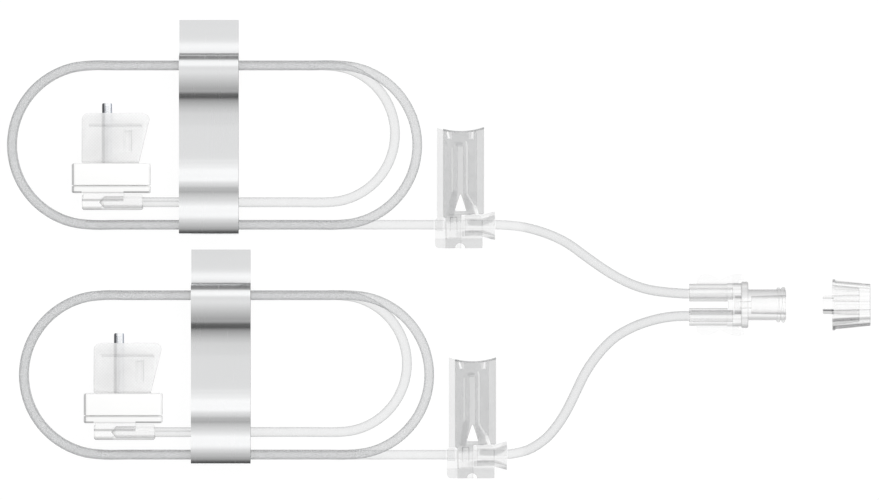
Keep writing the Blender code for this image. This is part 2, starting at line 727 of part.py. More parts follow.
def needle(side, leg, finishes):
    """The steel needle with its ground point."""
    radius = NEEDLE_OD / 2
    profile = [
        (0, NEEDLE_TIP_Y - NEEDLE_FOOT_Y),
        (radius, NEEDLE_TIP_Y - NEEDLE_POINT - NEEDLE_FOOT_Y),
        (radius, 0),
        (0, 0),
    ]
    place = (NEEDLE_X, NEEDLE_FOOT_Y, NEEDLE_Z)
    turned("needle_" + side, profile, False, leg, place, "Y", finishes["steel"], FINE_STEPS)


def needle_sheath(side, leg, finishes):
    """The closed tube over the needle, open at the base."""
    outer = SHEATH_OD / 2
    bore = NEEDLE_OD / 2 + SHEATH_BORE_CLEARANCE
    foot = BASE_TOP_Y + FIT_GAP
    round_end = 0.35 * MM
    depth = SHEATH_LENGTH - SHEATH_END_WALL
    profile = [
        (0, SHEATH_LENGTH),
        (outer - round_end, SHEATH_LENGTH),
        (outer - round_end * 0.3, SHEATH_LENGTH - round_end * 0.3),
        (outer, SHEATH_LENGTH - round_end),
        (outer, 0),
        (bore, 0),
        (bore, depth),
        (0, depth),
    ]
    place = (NEEDLE_X, foot, NEEDLE_Z)
    turned(
        "needle_sheath_" + side, profile, False, leg, place, "Y", finishes["sheath"], 16
    )


def wing(side, name, face, leg, finishes):
    """A fold-out wing on its hinge line. Face is 1 for the upper wing, -1 for the lower."""
    root = WING_THICKNESS / 2
    corners = [
        (-WING_LEFT, -root),
        (WING_RIGHT_ROOT, -root),
        (WING_RIGHT_TOP, WING_HEIGHT),
        (-WING_LEFT, WING_HEIGHT),
    ]
    outline = rounded(corners, [0, 0, WING_CORNER, WING_CORNER])
    title = name + side
    mesh = filled(title, [outline], WING_THICKNESS)
    bm = bmesh.new()
    bm.from_mesh(mesh)
    bpy.data.meshes.remove(mesh)
    foot = [
        edge
        for edge in bm.edges
        if all(abs(vert.co.y + root) < WELD for vert in edge.verts)
        and edge.calc_length() > 2 * WING_THICKNESS
        and abs(edge.verts[0].co.z - edge.verts[1].co.z) < WELD
        and abs(abs(edge.verts[0].co.z) - root) < WELD
    ]
    bmesh.ops.bevel(
        bm, geom=foot, offset=root * 0.9, segments=3, profile=0.5, affect="EDGES"
    )
    place = (NEEDLE_X, WING_HINGE_Y, NEEDLE_Z + face * WING_OFFSET)
    piece = add(title, mesh_from(bm, title), leg, place, material=finishes["wing"])
    skin = face * WING_THICKNESS / 2
    groove_top = WING_HEIGHT - WING_GROOVE_DROP
    groove = (
        (1.6 * MM - WING_LEFT, groove_top - WING_GROOVE_WIDTH, skin - WING_GROOVE_DEPTH),
        (WING_RIGHT_TOP - 2.0 * MM, groove_top, skin + WING_GROOVE_DEPTH),
    )
    panel = (
        (WING_PANEL_LEFT, 1.9 * MM, skin - WING_PANEL_DEPTH),
        (WING_PANEL_RIGHT, groove_top - 1.2 * MM, skin + WING_PANEL_DEPTH),
    )
    for what, (low, high) in (("groove_", groove), ("panel_", panel)):
        tool = add(title + "_" + what, box(title + what, low, high), leg, place)
        shape(piece, tool, "DIFFERENCE")
    return piece


def clamp_top(left, right, height):
    """The hollowed free end of a clamp arm, from its right corner to its left."""
    half = CLAMP_WIDTH / 2
    points = []
    for step in range(9):
        across = right + (left - right) * step / 8
        points.append((across, height - CLAMP_TOP_SAG * (1 - (across / half) ** 2)))
    return points


def fork(half, mouth, flare, foot, top):
    """A straight slot that flares towards the tube, as an outline with a flat foot."""
    corners = [
        (-mouth, foot), (mouth, foot), (half, flare), (half, top), (-half, top), (-half, flare)
    ]
    turn = half * 0.45
    return rounded(corners, [turn, turn, 0.0, turn, turn, 0.0], 2)


def clamp_slot():
    """The rear arm's slot."""
    return fork(
        CLAMP_SLOT_WIDTH / 2, CLAMP_SLOT_MOUTH / 2, CLAMP_SLOT_FLARE, CLAMP_SLOT_FOOT,
        CLAMP_ARM_REACH - CLAMP_SLOT_DROP,
    )


def clamp_window():
    """The front arm's pointed window, on the rear slot's flare."""
    base = CLAMP_HINGE_DROP
    tip = CLAMP_WINDOW_TIP / 2
    corners = [
        (-CLAMP_SLOT_MOUTH / 2, CLAMP_WINDOW_FOOT + base),
        (CLAMP_SLOT_MOUTH / 2, CLAMP_WINDOW_FOOT + base),
        (tip, CLAMP_SLOT_FLARE + base),
        (-tip, CLAMP_SLOT_FLARE + base),
    ]
    return rounded(corners, [2 * tip, 2 * tip, 0.0, 0.0], 2)


def clamp_rim(name, foot, base_line):
    """The raised rim round an arm's slot, measured from a line that far from the tube."""
    top = CLAMP_ARM_REACH - CLAMP_SLOT_DROP + base_line
    flare = CLAMP_SLOT_FLARE + base_line
    foot = foot + base_line
    outer = fork(
        CLAMP_RIM_OUTER, CLAMP_RIM_OUTER_MOUTH, flare + 0.5 * MM, foot - CLAMP_RIM_BAR,
        top + 0.15 * MM + CLAMP_RIM_BAR,
    )
    inner = fork(
        CLAMP_RIM_INNER, CLAMP_RIM_INNER_MOUTH, flare - 0.3 * MM, foot - 0.1 * MM,
        top + 0.15 * MM,
    )
    return filled(name, [outer, inner], CLAMP_RIM_HEIGHT + CLAMP_WALL / 2)


def clamp_ridge(name, parent, place):
    """The round ridge across the tube that pinches it."""
    mesh = rod(name, CLAMP_RIDGE_RADIUS, -CLAMP_RIDGE_LENGTH / 2, CLAMP_RIDGE_LENGTH)
    return add(name, mesh, parent, place, TURNS["Y"])


def clamp_nozzle(side, holder):
    """The flared outlet that the tube leaves by."""
    start, end = CLAMP_NOZZLE_START, CLAMP_NOZZLE_END
    flare = start + (end - start) * 0.55
    profile = [
        (CLAMP_NOZZLE_MOUTH_BORE / 2, end),
        (CLAMP_NOZZLE_MOUTH_OD / 2, end),
        (CLAMP_NOZZLE_MOUTH_OD / 2 - 0.15 * MM, end - 0.8 * MM),
        (CLAMP_NOZZLE_OD / 2, flare),
        (CLAMP_NOZZLE_OD / 2, start),
        (CLAMP_NOZZLE_BORE / 2, start),
        (CLAMP_NOZZLE_BORE / 2, flare),
    ]
    place = (0, -CLAMP_NOZZLE_DROP, CLAMP_TUBE_Z)
    return turned("nozzle_" + side, profile, True, holder, place, "X", steps=20)


def clamp_base(side, leg, finishes):
    """The clamp's rear arm, foot, end wall and nozzle, moulded as one."""
    title = "clamp_base_" + side
    holder = empty("clamp_" + side, leg, (CLAMP_X, OUTER_RUN_Y, 0))
    half = CLAMP_WIDTH / 2
    bottom = -CLAMP_FOOT_REACH
    lower = [
        (-half - CLAMP_END_BULGE * 0.4, bottom),
        (half - 0.3 * MM, bottom),
        (half - 0.25 * MM, 1.2 * MM),
        (CLAMP_BASE_RIGHT, 2.6 * MM),
        (CLAMP_BASE_RIGHT, CLAMP_ARM_REACH - 2 * MM),
        (-half, CLAMP_ARM_REACH - 2 * MM),
        (-half, 1.4 * MM),
    ]
    outline = rounded(lower, [1.2 * MM, 0.8 * MM, 0.4 * MM, 0.5 * MM, 0, 0, 0], 3)
    split = next(i for i, spot in enumerate(outline) if spot.y > CLAMP_ARM_REACH - 3 * MM)
    outline[split : split + 2] = clamp_top(-half, CLAMP_BASE_RIGHT, CLAMP_ARM_REACH)
    arm = filled(title, [outline, clamp_slot()], CLAMP_WALL)
    arm.transform(Matrix.Translation((0, 0, CLAMP_WALL / 2)))
    piece = add(title, arm, holder, material=finishes["clear"])

    hinge_radius = CLAMP_WALL / 2
    foot_top = CLAMP_HINGE_Z - hinge_radius - FIT_GAP
    sunk = CLAMP_WALL / 2
    joined = {
        "foot": (
            (-CLAMP_STRAP_LEFT, bottom + 0.01 * MM, sunk),
            (half - 0.35 * MM, bottom + 1.5 * MM, foot_top),
        ),
        "step": (
            (-CLAMP_STRAP_LEFT, bottom + 1 * MM, sunk),
            (half - 0.35 * MM, bottom + 2.2 * MM, foot_top - 1 * MM),
        ),
        "web": (
            (CLAMP_NOZZLE_START + 0.3 * MM, -1.3 * MM, sunk),
            (half - 0.5 * MM, 0.9 * MM, CLAMP_TUBE_Z - CLAMP_NOZZLE_BORE / 2 - 0.25 * MM),
        ),
    }
    for name, (low, high) in joined.items():
        mesh = box(f"clamp_{name}_{side}", low, high)
        shape(piece, add(f"clamp_{name}_{side}", mesh, holder), "UNION")

    wall = rounded(
        [
            (-half - CLAMP_END_BULGE, bottom + 0.02 * MM),
            (CLAMP_END_WALL - half - CLAMP_END_BULGE, bottom + 0.02 * MM),
            (CLAMP_END_WALL - half - CLAMP_END_BULGE, 1.4 * MM),
            (-half - CLAMP_END_BULGE, 1.4 * MM),
        ],
        [0.8 * MM, 0, 0.3 * MM, 0.6 * MM],
        3,
    )
    wall_height = foot_top + FIT_GAP - sunk
    mesh = filled("clamp_wall_" + side, [wall], wall_height)
    mesh.transform(Matrix.Translation((0, 0, sunk + wall_height / 2)))
    shape(piece, add("clamp_wall_" + side, mesh, holder), "UNION")
    shape(piece, clamp_nozzle(side, holder), "UNION")
    anvil_z = CLAMP_TUBE_Z - TUBE_RADIUS - FIT_GAP - CLAMP_RIDGE_RADIUS
    anvil = clamp_ridge("clamp_anvil_" + side, holder, (CLAMP_RIDGE_X, 0, anvil_z))
    shape(piece, anvil, "UNION")
    rim = clamp_rim("clamp_rim_" + side, CLAMP_SLOT_FOOT, 0.0)
    rim.transform(Matrix.Translation((0, 0, CLAMP_WALL * 0.75 + CLAMP_RIM_HEIGHT / 2)))
    shape(piece, add("clamp_rim_" + side, rim, holder), "UNION")

    inlet = rod("inlet_" + side, TUBE_RADIUS + FIT_GAP, -half - 2 * MM, 4 * MM, 16)
    inlet = add("inlet_" + side, inlet, holder, (0, 0, CLAMP_TUBE_Z), TURNS["X"])
    shape(piece, inlet, "DIFFERENCE")
    slit_top = -CLAMP_NOZZLE_DROP - 0.05 * MM
    slit = box(
        "slit_" + side,
        (CLAMP_NOZZLE_START - 1 * MM, slit_top - CLAMP_SLIT_WIDTH, CLAMP_TUBE_Z + 0.5 * MM),
        (CLAMP_NOZZLE_END + 1 * MM, slit_top, CLAMP_TUBE_Z + CLAMP_NOZZLE_MOUTH_OD),
    )
    shape(piece, add("slit_" + side, slit, holder), "DIFFERENCE")
    arch = rod("arch_" + side, 1.1 * MM, -1 * MM, CLAMP_HINGE_Z + 2 * MM, 16)
    shape(piece, add("arch_" + side, arch, holder, (-0.1 * MM, bottom, 0)), "DIFFERENCE")
    peg = [size / 2 + FIT_GAP for size in CLAMP_PEG_SIZE]
    peg_y = CLAMP_ARM_REACH - CLAMP_PEG_DROP
    for hand in (1, -1):
        title = f"peg_slot_{'right' if hand > 0 else 'left'}_{side}"
        low = (hand * CLAMP_PEG_X - peg[0], peg_y - 0.2 * MM - peg[1], -1 * MM)
        high = (hand * CLAMP_PEG_X + peg[0], peg_y + peg[1], 2 * CLAMP_WALL)
        shape(piece, add(title, box(title, low, high), holder), "DIFFERENCE")
    return holder


def clamp_lever(side, holder, finishes):
    """The clamp's front arm, on the hinge line of its strap."""
    title = "clamp_lever_" + side
    tilt = math.radians(CLAMP_OPEN_ANGLE)
    half = CLAMP_WIDTH / 2
    root = CLAMP_WALL / 2
    reach = (CLAMP_ARM_REACH + CLAMP_HINGE_DROP) / math.cos(tilt)
    shoulder = (CLAMP_STRAP_REACH + CLAMP_HINGE_DROP) / math.cos(tilt)
    lower = [
        (-CLAMP_STRAP_LEFT, -root),
        (CLAMP_STRAP_RIGHT, -root),
        (CLAMP_STRAP_RIGHT, shoulder),
        (half, shoulder),
        (half, reach - 2 * MM),
        (-CLAMP_LEVER_LEFT, reach - 2 * MM),
        (-CLAMP_LEVER_LEFT, shoulder - 0.4 * MM),
        (-CLAMP_STRAP_LEFT, shoulder - 0.9 * MM),
    ]
    outline = rounded(lower, [0, 0, 0.3 * MM, 0.4 * MM, 0, 0, 0, 0], 3)
    split = next(i for i, spot in enumerate(outline) if spot.y > reach - 3 * MM)
    outline[split : split + 2] = clamp_top(-CLAMP_LEVER_LEFT, half, reach)
    mesh = filled(title, [outline, clamp_window()], CLAMP_WALL)
    bm = bmesh.new()
    bm.from_mesh(mesh)
    bpy.data.meshes.remove(mesh)
    foot = [
        edge
        for edge in bm.edges
        if all(abs(vert.co.y + root) < WELD for vert in edge.verts)
        and abs(edge.verts[0].co.z - edge.verts[1].co.z) < WELD
    ]
    bmesh.ops.bevel(
        bm, geom=foot, offset=root * 0.9, segments=3, profile=0.5, affect="EDGES"
    )
    place = (0, -CLAMP_HINGE_DROP, CLAMP_HINGE_Z)
    turn = (tilt, 0, 0)
    piece = add(title, mesh_from(bm, title), holder, place, turn, finishes["clear"])
    hinge = empty("clamp_hinge_" + side, holder, place)
    hinge.rotation_euler = turn
    rim = clamp_rim("lever_rim_" + side, CLAMP_WINDOW_FOOT, CLAMP_HINGE_DROP)
    rim.transform(Matrix.Translation((0, 0, CLAMP_WALL / 4 + CLAMP_RIM_HEIGHT / 2)))
    shape(piece, add("lever_rim_" + side, rim, hinge), "UNION")
    over_tube = CLAMP_HINGE_DROP
    clear = CLAMP_TUBE_Z + TUBE_RADIUS + FIT_GAP - CLAMP_HINGE_Z
    drop = (clear - over_tube * math.sin(tilt)) / math.cos(tilt) + CLAMP_RIDGE_RADIUS
    nub = clamp_ridge("lever_nub_" + side, hinge, (CLAMP_RIDGE_X, over_tube, drop))
    shape(piece, nub, "UNION")
    wide, long, deep = CLAMP_PEG_SIZE
    middle = (CLAMP_ARM_REACH - CLAMP_PEG_DROP + CLAMP_HINGE_DROP) / math.cos(tilt)
    for hand in (1, -1):
        title = f"peg_{'right' if hand > 0 else 'left'}_{side}"
        low = (hand * CLAMP_PEG_X - wide / 2, middle - long / 2, -root - deep)
        high = (hand * CLAMP_PEG_X + wide / 2, middle + long / 2, 0)
        shape(piece, add(title, box(title, low, high), hinge), "UNION")


def tab_outline():
    """The waved finger tabs of the branch body, which end over the socket's collar."""
    length = BRANCH_TAB_END - BRANCH_TAB_START
    swing = BRANCH_TAB_REACH - BRANCH_TAB_WAIST
    wave = [
        (BRANCH_TAB_START + along * length, BRANCH_TAB_WAIST + lift * swing, 0)
        for along, lift in BRANCH_TAB_WAVE
    ]
    line = [(spot.x, spot.y) for spot in smooth(wave, 0.6 * MM)]
    inner = SOCKET_COLLAR_OD / 2 + FIT_GAP
    line += [(BRANCH_TAB_END, inner), (BRANCH_LENGTH - FIT_GAP, inner)]
    return [(across, -up) for across, up in line] + line[::-1]


def branch_body(holder, finishes):
    """Two tube ports joined by an end block, with thin finger tabs."""
    radius = BRANCH_BARREL_OD / 2
    port = BRANCH_PORT_PITCH / 2
    block_start = BRANCH_SLOT_LENGTH
    wide, high = port + radius + BRANCH_BLOCK_PROUD, radius + BRANCH_BLOCK_PROUD
    block = rounded(
        [(-wide, -high), (wide, -high), (wide, high), (-wide, high)], [high * 0.7] * 4, 4
    )
    length = BRANCH_LENGTH - block_start
    mesh = filled("branch_body", [block], length, "XZ")
    mesh.transform(Matrix.Rotation(math.pi / 2, 4, "Z"))
    mesh.transform(Matrix.Translation((block_start + length / 2, 0, 0)))
    piece = add("branch_body", mesh, holder, material=finishes["clear"])
    tabs = filled("finger_tabs", [tab_outline()], BRANCH_TAB_THICKNESS)
    shape(piece, add("finger_tabs", tabs, holder), "UNION")
    for name, hand in (("a", 1), ("b", -1)):
        barrel = rod("port_" + name, radius, 0, block_start + 1 * MM, ROUND_STEPS)
        place = (0, hand * port, 0)
        shape(piece, add("port_" + name, barrel, holder, place, TURNS["X"]), "UNION")
    slot = box(
        "coring_slot",
        (-1 * MM, -BRANCH_SLOT_WIDTH / 2, -radius - 1 * MM),
        (block_start + 0.3 * MM, BRANCH_SLOT_WIDTH / 2, radius + 1 * MM),
    )
    shape(piece, add("coring_slot", slot, holder), "DIFFERENCE")
    for name, hand in (("a", 1), ("b", -1)):
        depth = BRANCH_SEAT_DEPTH + FIT_GAP
        bore = rod("port_bore_" + name, SOCKET_RADIUS, -1 * MM, depth + 1 * MM, 16)
        place = (0, hand * port, 0)
        shape(piece, add("port_bore_" + name, bore, holder, place, TURNS["X"]), "DIFFERENCE")
    seat_start = BRANCH_LENGTH - SOCKET_SPIGOT_LENGTH
    seat = rod(
        "spigot_seat", SOCKET_SPIGOT_OD / 2 + FIT_GAP, seat_start, SOCKET_SPIGOT_LENGTH + 1 * MM
    )
    shape(piece, add("spigot_seat", seat, holder, turn=TURNS["X"]), "DIFFERENCE")


def lug(name, holder, start_angle):
    """One helical lug round the socket's mouth."""
    radius = LUG_OD / 2 - LUG_THICKNESS / 2
    points = []
    for step in range(9):
        share = step / 8
        turn = math.radians(start_angle + LUG_TURN * share)
        along = SOCKET_MOUTH_X - LUG_THICKNESS * 0.6 - LUG_RISE * (1 - share)
        points.append((along, radius * math.cos(turn), radius * math.sin(turn)))
    curve = bpy.data.curves.new(name, "CURVE")
    curve.dimensions = "3D"
    curve.bevel_depth = LUG_THICKNESS / 2
    curve.bevel_resolution = 1
    curve.use_fill_caps = True
    spline = curve.splines.new("POLY")
    spline.points.add(len(points) - 1)
    for point, place in zip(spline.points, points):
        point.co = (*place, 1)
    return add(name, solid_from(curve, name), holder)


def taper_socket(holder, finishes):
    """The collar and tapered socket, with its two helical lugs."""
    face, mouth = SOCKET_FACE_X, SOCKET_MOUTH_X
    collar = SOCKET_COLLAR_OD / 2
    barrel = SOCKET_BARREL_OD / 2
    spigot = SOCKET_SPIGOT_OD / 2
    bore = SOCKET_MOUTH_BORE / 2
    deep = bore - SOCKET_TAPER_DEPTH * CONE_TAPER / 2
    flow = SOCKET_FLOW_BORE / 2
    edge = 0.2 * MM
    profile = [
        (bore, mouth),
        (barrel - edge, mouth),
        (barrel, mouth - edge),
        (barrel, face + SOCKET_COLLAR_LENGTH),
        (collar - edge, face + SOCKET_COLLAR_LENGTH),
        (collar, face + SOCKET_COLLAR_LENGTH - edge),
        (collar, face + edge),
        (collar - edge, face),
        (spigot, face),
        (spigot, face - SOCKET_SPIGOT_LENGTH),
        (flow, face - SOCKET_SPIGOT_LENGTH),
        (flow, mouth - SOCKET_TAPER_DEPTH),
        (deep, mouth - SOCKET_TAPER_DEPTH),
    ]
    piece = turned("taper_socket", profile, True, holder, (0, 0, 0), "X", finishes["clear"])
    for name, angle in (("lug_front", 10.0), ("lug_rear", 190.0)):
        shape(piece, lug(name, holder, angle), "UNION")


def ribbed_outline(radius):
    """A circle with low ribs, for the cap's grip."""
    points = []
    pitch = 2 * math.pi / CAP_RIB_COUNT
    for rib in range(CAP_RIB_COUNT):
        for share, lift in ((0.0, 0.0), (0.3, 0.0), (0.42, 1.0), (0.88, 1.0)):
            angle = (rib + share) * pitch
            reach = radius - CAP_RIB_HEIGHT * (1 - lift)
            points.append((reach * math.cos(angle), reach * math.sin(angle)))
    return points


def end_cap(holder, finishes):
    """The ribbed cap: a tapering skirt round a plug that fits the socket."""
    axis = empty("end_cap_axis", holder, (CAP_RIM_X, 0, 0))
    axis.rotation_euler = TURNS["X"]
    ribs = ribbed_outline(CAP_RIM_OD / 2 - CAP_RIM_PROUD)
    mesh = filled("end_cap", [ribs], CAP_LENGTH)
    mesh.transform(Matrix.Translation((0, 0, CAP_LENGTH / 2)))
    bm = bmesh.new()
    bm.from_mesh(mesh)
    bpy.data.meshes.remove(mesh)
    top = [vert for vert in bm.verts if vert.co.z > CAP_LENGTH / 2]
    share = CAP_END_OD / CAP_RIM_OD
    bmesh.ops.scale(bm, vec=(share, share, 1), verts=top)
    place = (CAP_RIM_X, 0, 0)
    piece = add(
        "end_cap", mesh_from(bm, "end_cap"), holder, place, TURNS["X"], finishes["clear"]
    )
    inner = CAP_RIM_OD / 2 - CAP_RIM_PROUD - CAP_RIB_HEIGHT - CAP_WALL
    slope = (CAP_RIM_OD - CAP_END_OD) / 2 / CAP_LENGTH
    depth = CAP_LENGTH - CAP_FLOOR
    cavity = turned(
        "cap_cavity",
        [(0, depth), (inner - slope * depth, depth), (inner + slope * MM, -1 * MM), (0, -1 * MM)],
        False, axis, (0, 0, 0), "Z",
    )
    shape(piece, cavity, "DIFFERENCE")
    rim_radius = CAP_RIM_OD / 2
    rim = turned(
        "cap_rim",
        [
            (rim_radius - CAP_RIM_BEAD, CAP_RIM_BAND),
            (rim_radius - 0.03 * MM, CAP_RIM_BAND),
            (rim_radius, CAP_RIM_BAND / 2),
            (rim_radius, 0),
            (rim_radius - CAP_RIM_BEAD, 0),
        ],
        True, axis, (0, 0, 0), "Z",
    )
    shape(piece, rim, "UNION")
    tip = PLUG_TIP_OD / 2
    plug_length = PLUG_REACH + depth + 0.5 * MM
    root = tip + plug_length * CONE_TAPER / 2
    plug = turned(
        "cap_plug",
        [
            (0, depth + 0.5 * MM),
            (root, depth + 0.5 * MM),
            (tip, -PLUG_REACH + 0.15 * MM),
            (tip - 0.15 * MM, -PLUG_REACH),
            (0, -PLUG_REACH),
        ],
        False, axis, (0, 0, 0), "Z",
    )
    shape(piece, plug, "UNION")


def build():
    """Builds the whole set."""
    empty_scene()
    finishes = make_finishes()
    whole = empty("infusion_set", None, FIRST_COIL)
    for side, place in LEGS.items():
        leg = empty("leg_" + side, whole, place)
        tubing(side, leg, whole, finishes)
        storage_band(side, leg, finishes)
        needle_base(side, leg, finishes)
        tube_hub(side, leg, finishes)
        needle(side, leg, finishes)
        needle_sheath(side, leg, finishes)
        wing(side, "wing_front_", 1, leg, finishes)
        wing(side, "wing_rear_", -1, leg, finishes)
        clamp = clamp_base(side, leg, finishes)
        clamp_lever(side, clamp, finishes)
    fitting = empty("branch_fitting", whole, (BRANCH_X, BRANCH_Y, CAP_AXIS_Z))
    branch_body(fitting, finishes)
    taper_socket(fitting, finishes)
    end_cap(fitting, finishes)


build()
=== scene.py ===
"""Looks of a subcutaneous infusion set with two legs, laid out flat.

Each leg is a coil of clear tubing in a satin storage band, with a winged needle on its inner
end and a pinch clamp on its outer run. Both legs enter one clear branch fitting, which ends in
a tapered socket. A ribbed cap lies in line with that socket.
Metres, +Z up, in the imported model's frame.
"""

import logging
import math
from collections.abc import Sequence
from dataclasses import dataclass, field
from enum import Enum

import bmesh
import bpy
from mathutils import Matrix, Vector


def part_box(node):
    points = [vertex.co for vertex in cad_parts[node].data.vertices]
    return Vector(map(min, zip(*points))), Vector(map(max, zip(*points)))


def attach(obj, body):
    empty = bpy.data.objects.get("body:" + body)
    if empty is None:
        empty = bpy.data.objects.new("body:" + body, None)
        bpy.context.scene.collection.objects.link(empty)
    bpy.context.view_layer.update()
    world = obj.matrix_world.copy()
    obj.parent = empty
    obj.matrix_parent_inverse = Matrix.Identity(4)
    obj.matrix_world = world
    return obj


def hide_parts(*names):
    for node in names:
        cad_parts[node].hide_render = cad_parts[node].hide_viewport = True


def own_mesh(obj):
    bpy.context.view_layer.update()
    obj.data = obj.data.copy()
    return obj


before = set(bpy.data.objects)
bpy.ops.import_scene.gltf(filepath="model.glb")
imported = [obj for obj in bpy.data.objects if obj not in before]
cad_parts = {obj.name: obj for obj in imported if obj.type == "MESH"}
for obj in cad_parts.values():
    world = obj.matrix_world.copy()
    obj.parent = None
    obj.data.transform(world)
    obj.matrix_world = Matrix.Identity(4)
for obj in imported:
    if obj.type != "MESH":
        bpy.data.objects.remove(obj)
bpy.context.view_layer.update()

MM = 0.001
MERGE = 0.002 * MM
LOG = logging.getLogger("infusion_set")

# Shares of a half turn, and of half a straight to either side of its middle.
TWELFTHS = [step / 12 for step in range(13)]
FIFTHS = (-0.8, -0.6, -0.4, -0.2, 0.0, 0.2, 0.4, 0.6, 0.8)

Colour = tuple[float, float, float]
Point = tuple[float, float, float]
Flat = tuple[float, float]
Corner = tuple[float | None, float | None, float | None]
Shape = bmesh.types.BMesh
Material = bpy.types.Material
Piece = bpy.types.Object
Socket = bpy.types.NodeSocket


class Slot(Enum):
    """The record's material slots."""

    TUBING = "tubing"
    BAND = "band"
    WHITE = "white"
    CLEAR = "clear"
    WING = "wing"
    SHEATH = "sheath"
    STEEL = "steel"


class Axis(Enum):
    """The way a turned piece points, as the turn that brings local +Z there."""

    ALONG_X = Matrix.Rotation(math.pi / 2, 4, "Y")
    ALONG_Y = Matrix.Rotation(-math.pi / 2, 4, "X")


class Nodes:
    """The node tree of a material or a world."""

    def __init__(self, owner: Material | bpy.types.World) -> None:
        """Turns the owner's nodes on."""
        owner.use_nodes = True
        self.tree = owner.node_tree

    def feed(self, socket: Socket, value: object) -> None:
        """Sets a socket to a constant, or links it to another node's output."""
        if isinstance(value, Socket):
            self.tree.links.new(value, socket)
        elif socket.type == "RGBA":
            socket.default_value = (*value, 1.0)
        else:
            socket.default_value = value

    def worked(self, kind: str, operation: str | None, *values: object) -> bpy.types.Node:
        """A node whose inputs take the values in their order."""
        node = self.tree.nodes.new(kind)
        if operation:
            node.operation = operation
        for socket, value in zip(node.inputs, values):
            self.feed(socket, value)
        return node

    def add(self, kind: str, output: str | int = 0, **inputs: object) -> Socket:
        """Adds a node and gives one of its outputs.

        Args:
            kind: The node's type.
            output: The output that is wanted.
            **inputs: Values of its inputs by name, with _ for a space, and of its own settings.

        Returns:
            The output socket.
        """
        node = self.tree.nodes.new(kind)
        for name, value in inputs.items():
            title = name.replace("_", " ")
            if title in node.inputs:
                self.feed(node.inputs[title], value)
            else:
                setattr(node, name, value)
        return node.outputs[output]

    def sum_up(self, operation: str, *values: object) -> Socket:
        """A Math node over one to three values."""
        return self.worked("ShaderNodeMath", operation, *values).outputs[0]

    def vector(self, operation: str, *values: object) -> Socket:
        """A Vector Math node. A dot product or a length gives its value, the rest a vector."""
        node = self.worked("ShaderNodeVectorMath", operation, *values)
        return node.outputs["Value" if operation in ("DOT_PRODUCT", "LENGTH") else "Vector"]

    def blend(self, share: object, first: object, second: object, how: str = "MIX") -> Socket:
        """A colour between two, by share."""
        node = self.tree.nodes.new("ShaderNodeMix")
        node.data_type = "RGBA"
        node.blend_type = how
        for place, value in ((0, share), (6, first), (7, second)):
            self.feed(node.inputs[place], value)
        return node.outputs[2]

    def mix(self, share: object, first: Socket, second: Socket) -> Socket:
        """A shader between two, by share."""
        return self.worked("ShaderNodeMixShader", None, share, first, second).outputs[0]

    def part(self, place: Socket, name: str) -> Socket:
        """One coordinate of a place, by its letter."""
        return self.worked("ShaderNodeSeparateXYZ", None, place).outputs[name]

    def ramp(self, value: object, stops: Sequence[tuple[float, tuple]]) -> bpy.types.Node:
        """An eased colour ramp over stops of (place from 0 to 1, colour with alpha)."""
        node = self.worked("ShaderNodeValToRGB", None, value)
        node.color_ramp.interpolation = "EASE"
        for at, _ in stops[1:-1]:
            node.color_ramp.elements.new(at)
        for stop, (_, colour) in zip(node.color_ramp.elements, stops):
            stop.color = colour
        return node

    def greys(self, value: object, stops: Sequence[Flat]) -> Socket:
        """An eased grey over stops of (value, grey)."""
        low, high = stops[0][0], stops[-1][0]
        place = self.add("ShaderNodeMapRange", Value=value, From_Min=low, From_Max=high)
        colours = [((at - low) / (high - low), (grey, grey, grey, 1)) for at, grey in stops]
        return self.ramp(place, colours).outputs["Color"]

    def rays(self, *kinds: str) -> Socket:
        """1 for rays of the named kinds."""
        path = self.tree.nodes.new("ShaderNodeLightPath")
        found = path.outputs[kinds[0]]
        for kind in kinds[1:]:
            found = self.sum_up("MAXIMUM", found, path.outputs[kind])
        return found

    def end_in(self, shader: Socket, output: str) -> None:
        """Links the last shader to the tree's output node."""
        self.feed(self.tree.nodes[output].inputs["Surface"], shader)


class Recipe(Nodes):
    """The nodes of one material, from its texture to its Principled shader."""

    def __init__(self, name: str) -> None:
        """Starts the material of that name."""
        self.material = bpy.data.materials.new(name)
        super().__init__(self.material)
        self.shader = self.tree.nodes["Principled BSDF"]
        self.place = self.add("ShaderNodeTexCoord", "Object")

    def span(self, value: object, low: float, high: float) -> Socket:
        """Brings a value from 0..1 to low..high."""
        return self.add("ShaderNodeMapRange", Value=value, To_Min=low, To_Max=high)

    def step(self, value: object, start: float, stop: float) -> Socket:
        """A smooth step from 0 at one value to 1 at another."""
        return self.add("ShaderNodeMapRange", Value=value, From_Min=start, From_Max=stop,
                        interpolation_type="SMOOTHSTEP")

    def noise(self, scale: float, detail: float = 3.0, stretch: Point = (1, 1, 1)) -> Socket:
        """Noise on Object coordinates, stretched along any axis whose factor is small."""
        place = self.add("ShaderNodeMapping", Vector=self.place, Scale=stretch)
        return self.add("ShaderNodeTexNoise", "Fac", Vector=place, Scale=scale, Detail=detail)

    def bump(self, height: object, depth: float) -> None:
        """Raises the surface by a height of 0..1 times depth, in metres."""
        self.set(Normal=self.add("ShaderNodeBump", "Normal", Height=height, Distance=depth,
                                 Strength=1.0))

    def marked(self, colour: object, marks: Sequence["Mark"], there: Colour) -> object:
        """Blends a colour towards another in each mark, by what the mark adds."""
        for mark in marks:
            depth = self.sum_up("MULTIPLY", mark.share(self), mark.add)
            colour = self.blend(depth, colour, there)
        return colour

    def set(self, **values: object) -> Material:
        """Sets the shader's inputs and gives the finished material."""
        for name, value in values.items():
            self.feed(self.shader.inputs[name.replace("_", " ")], value)
        return self.material


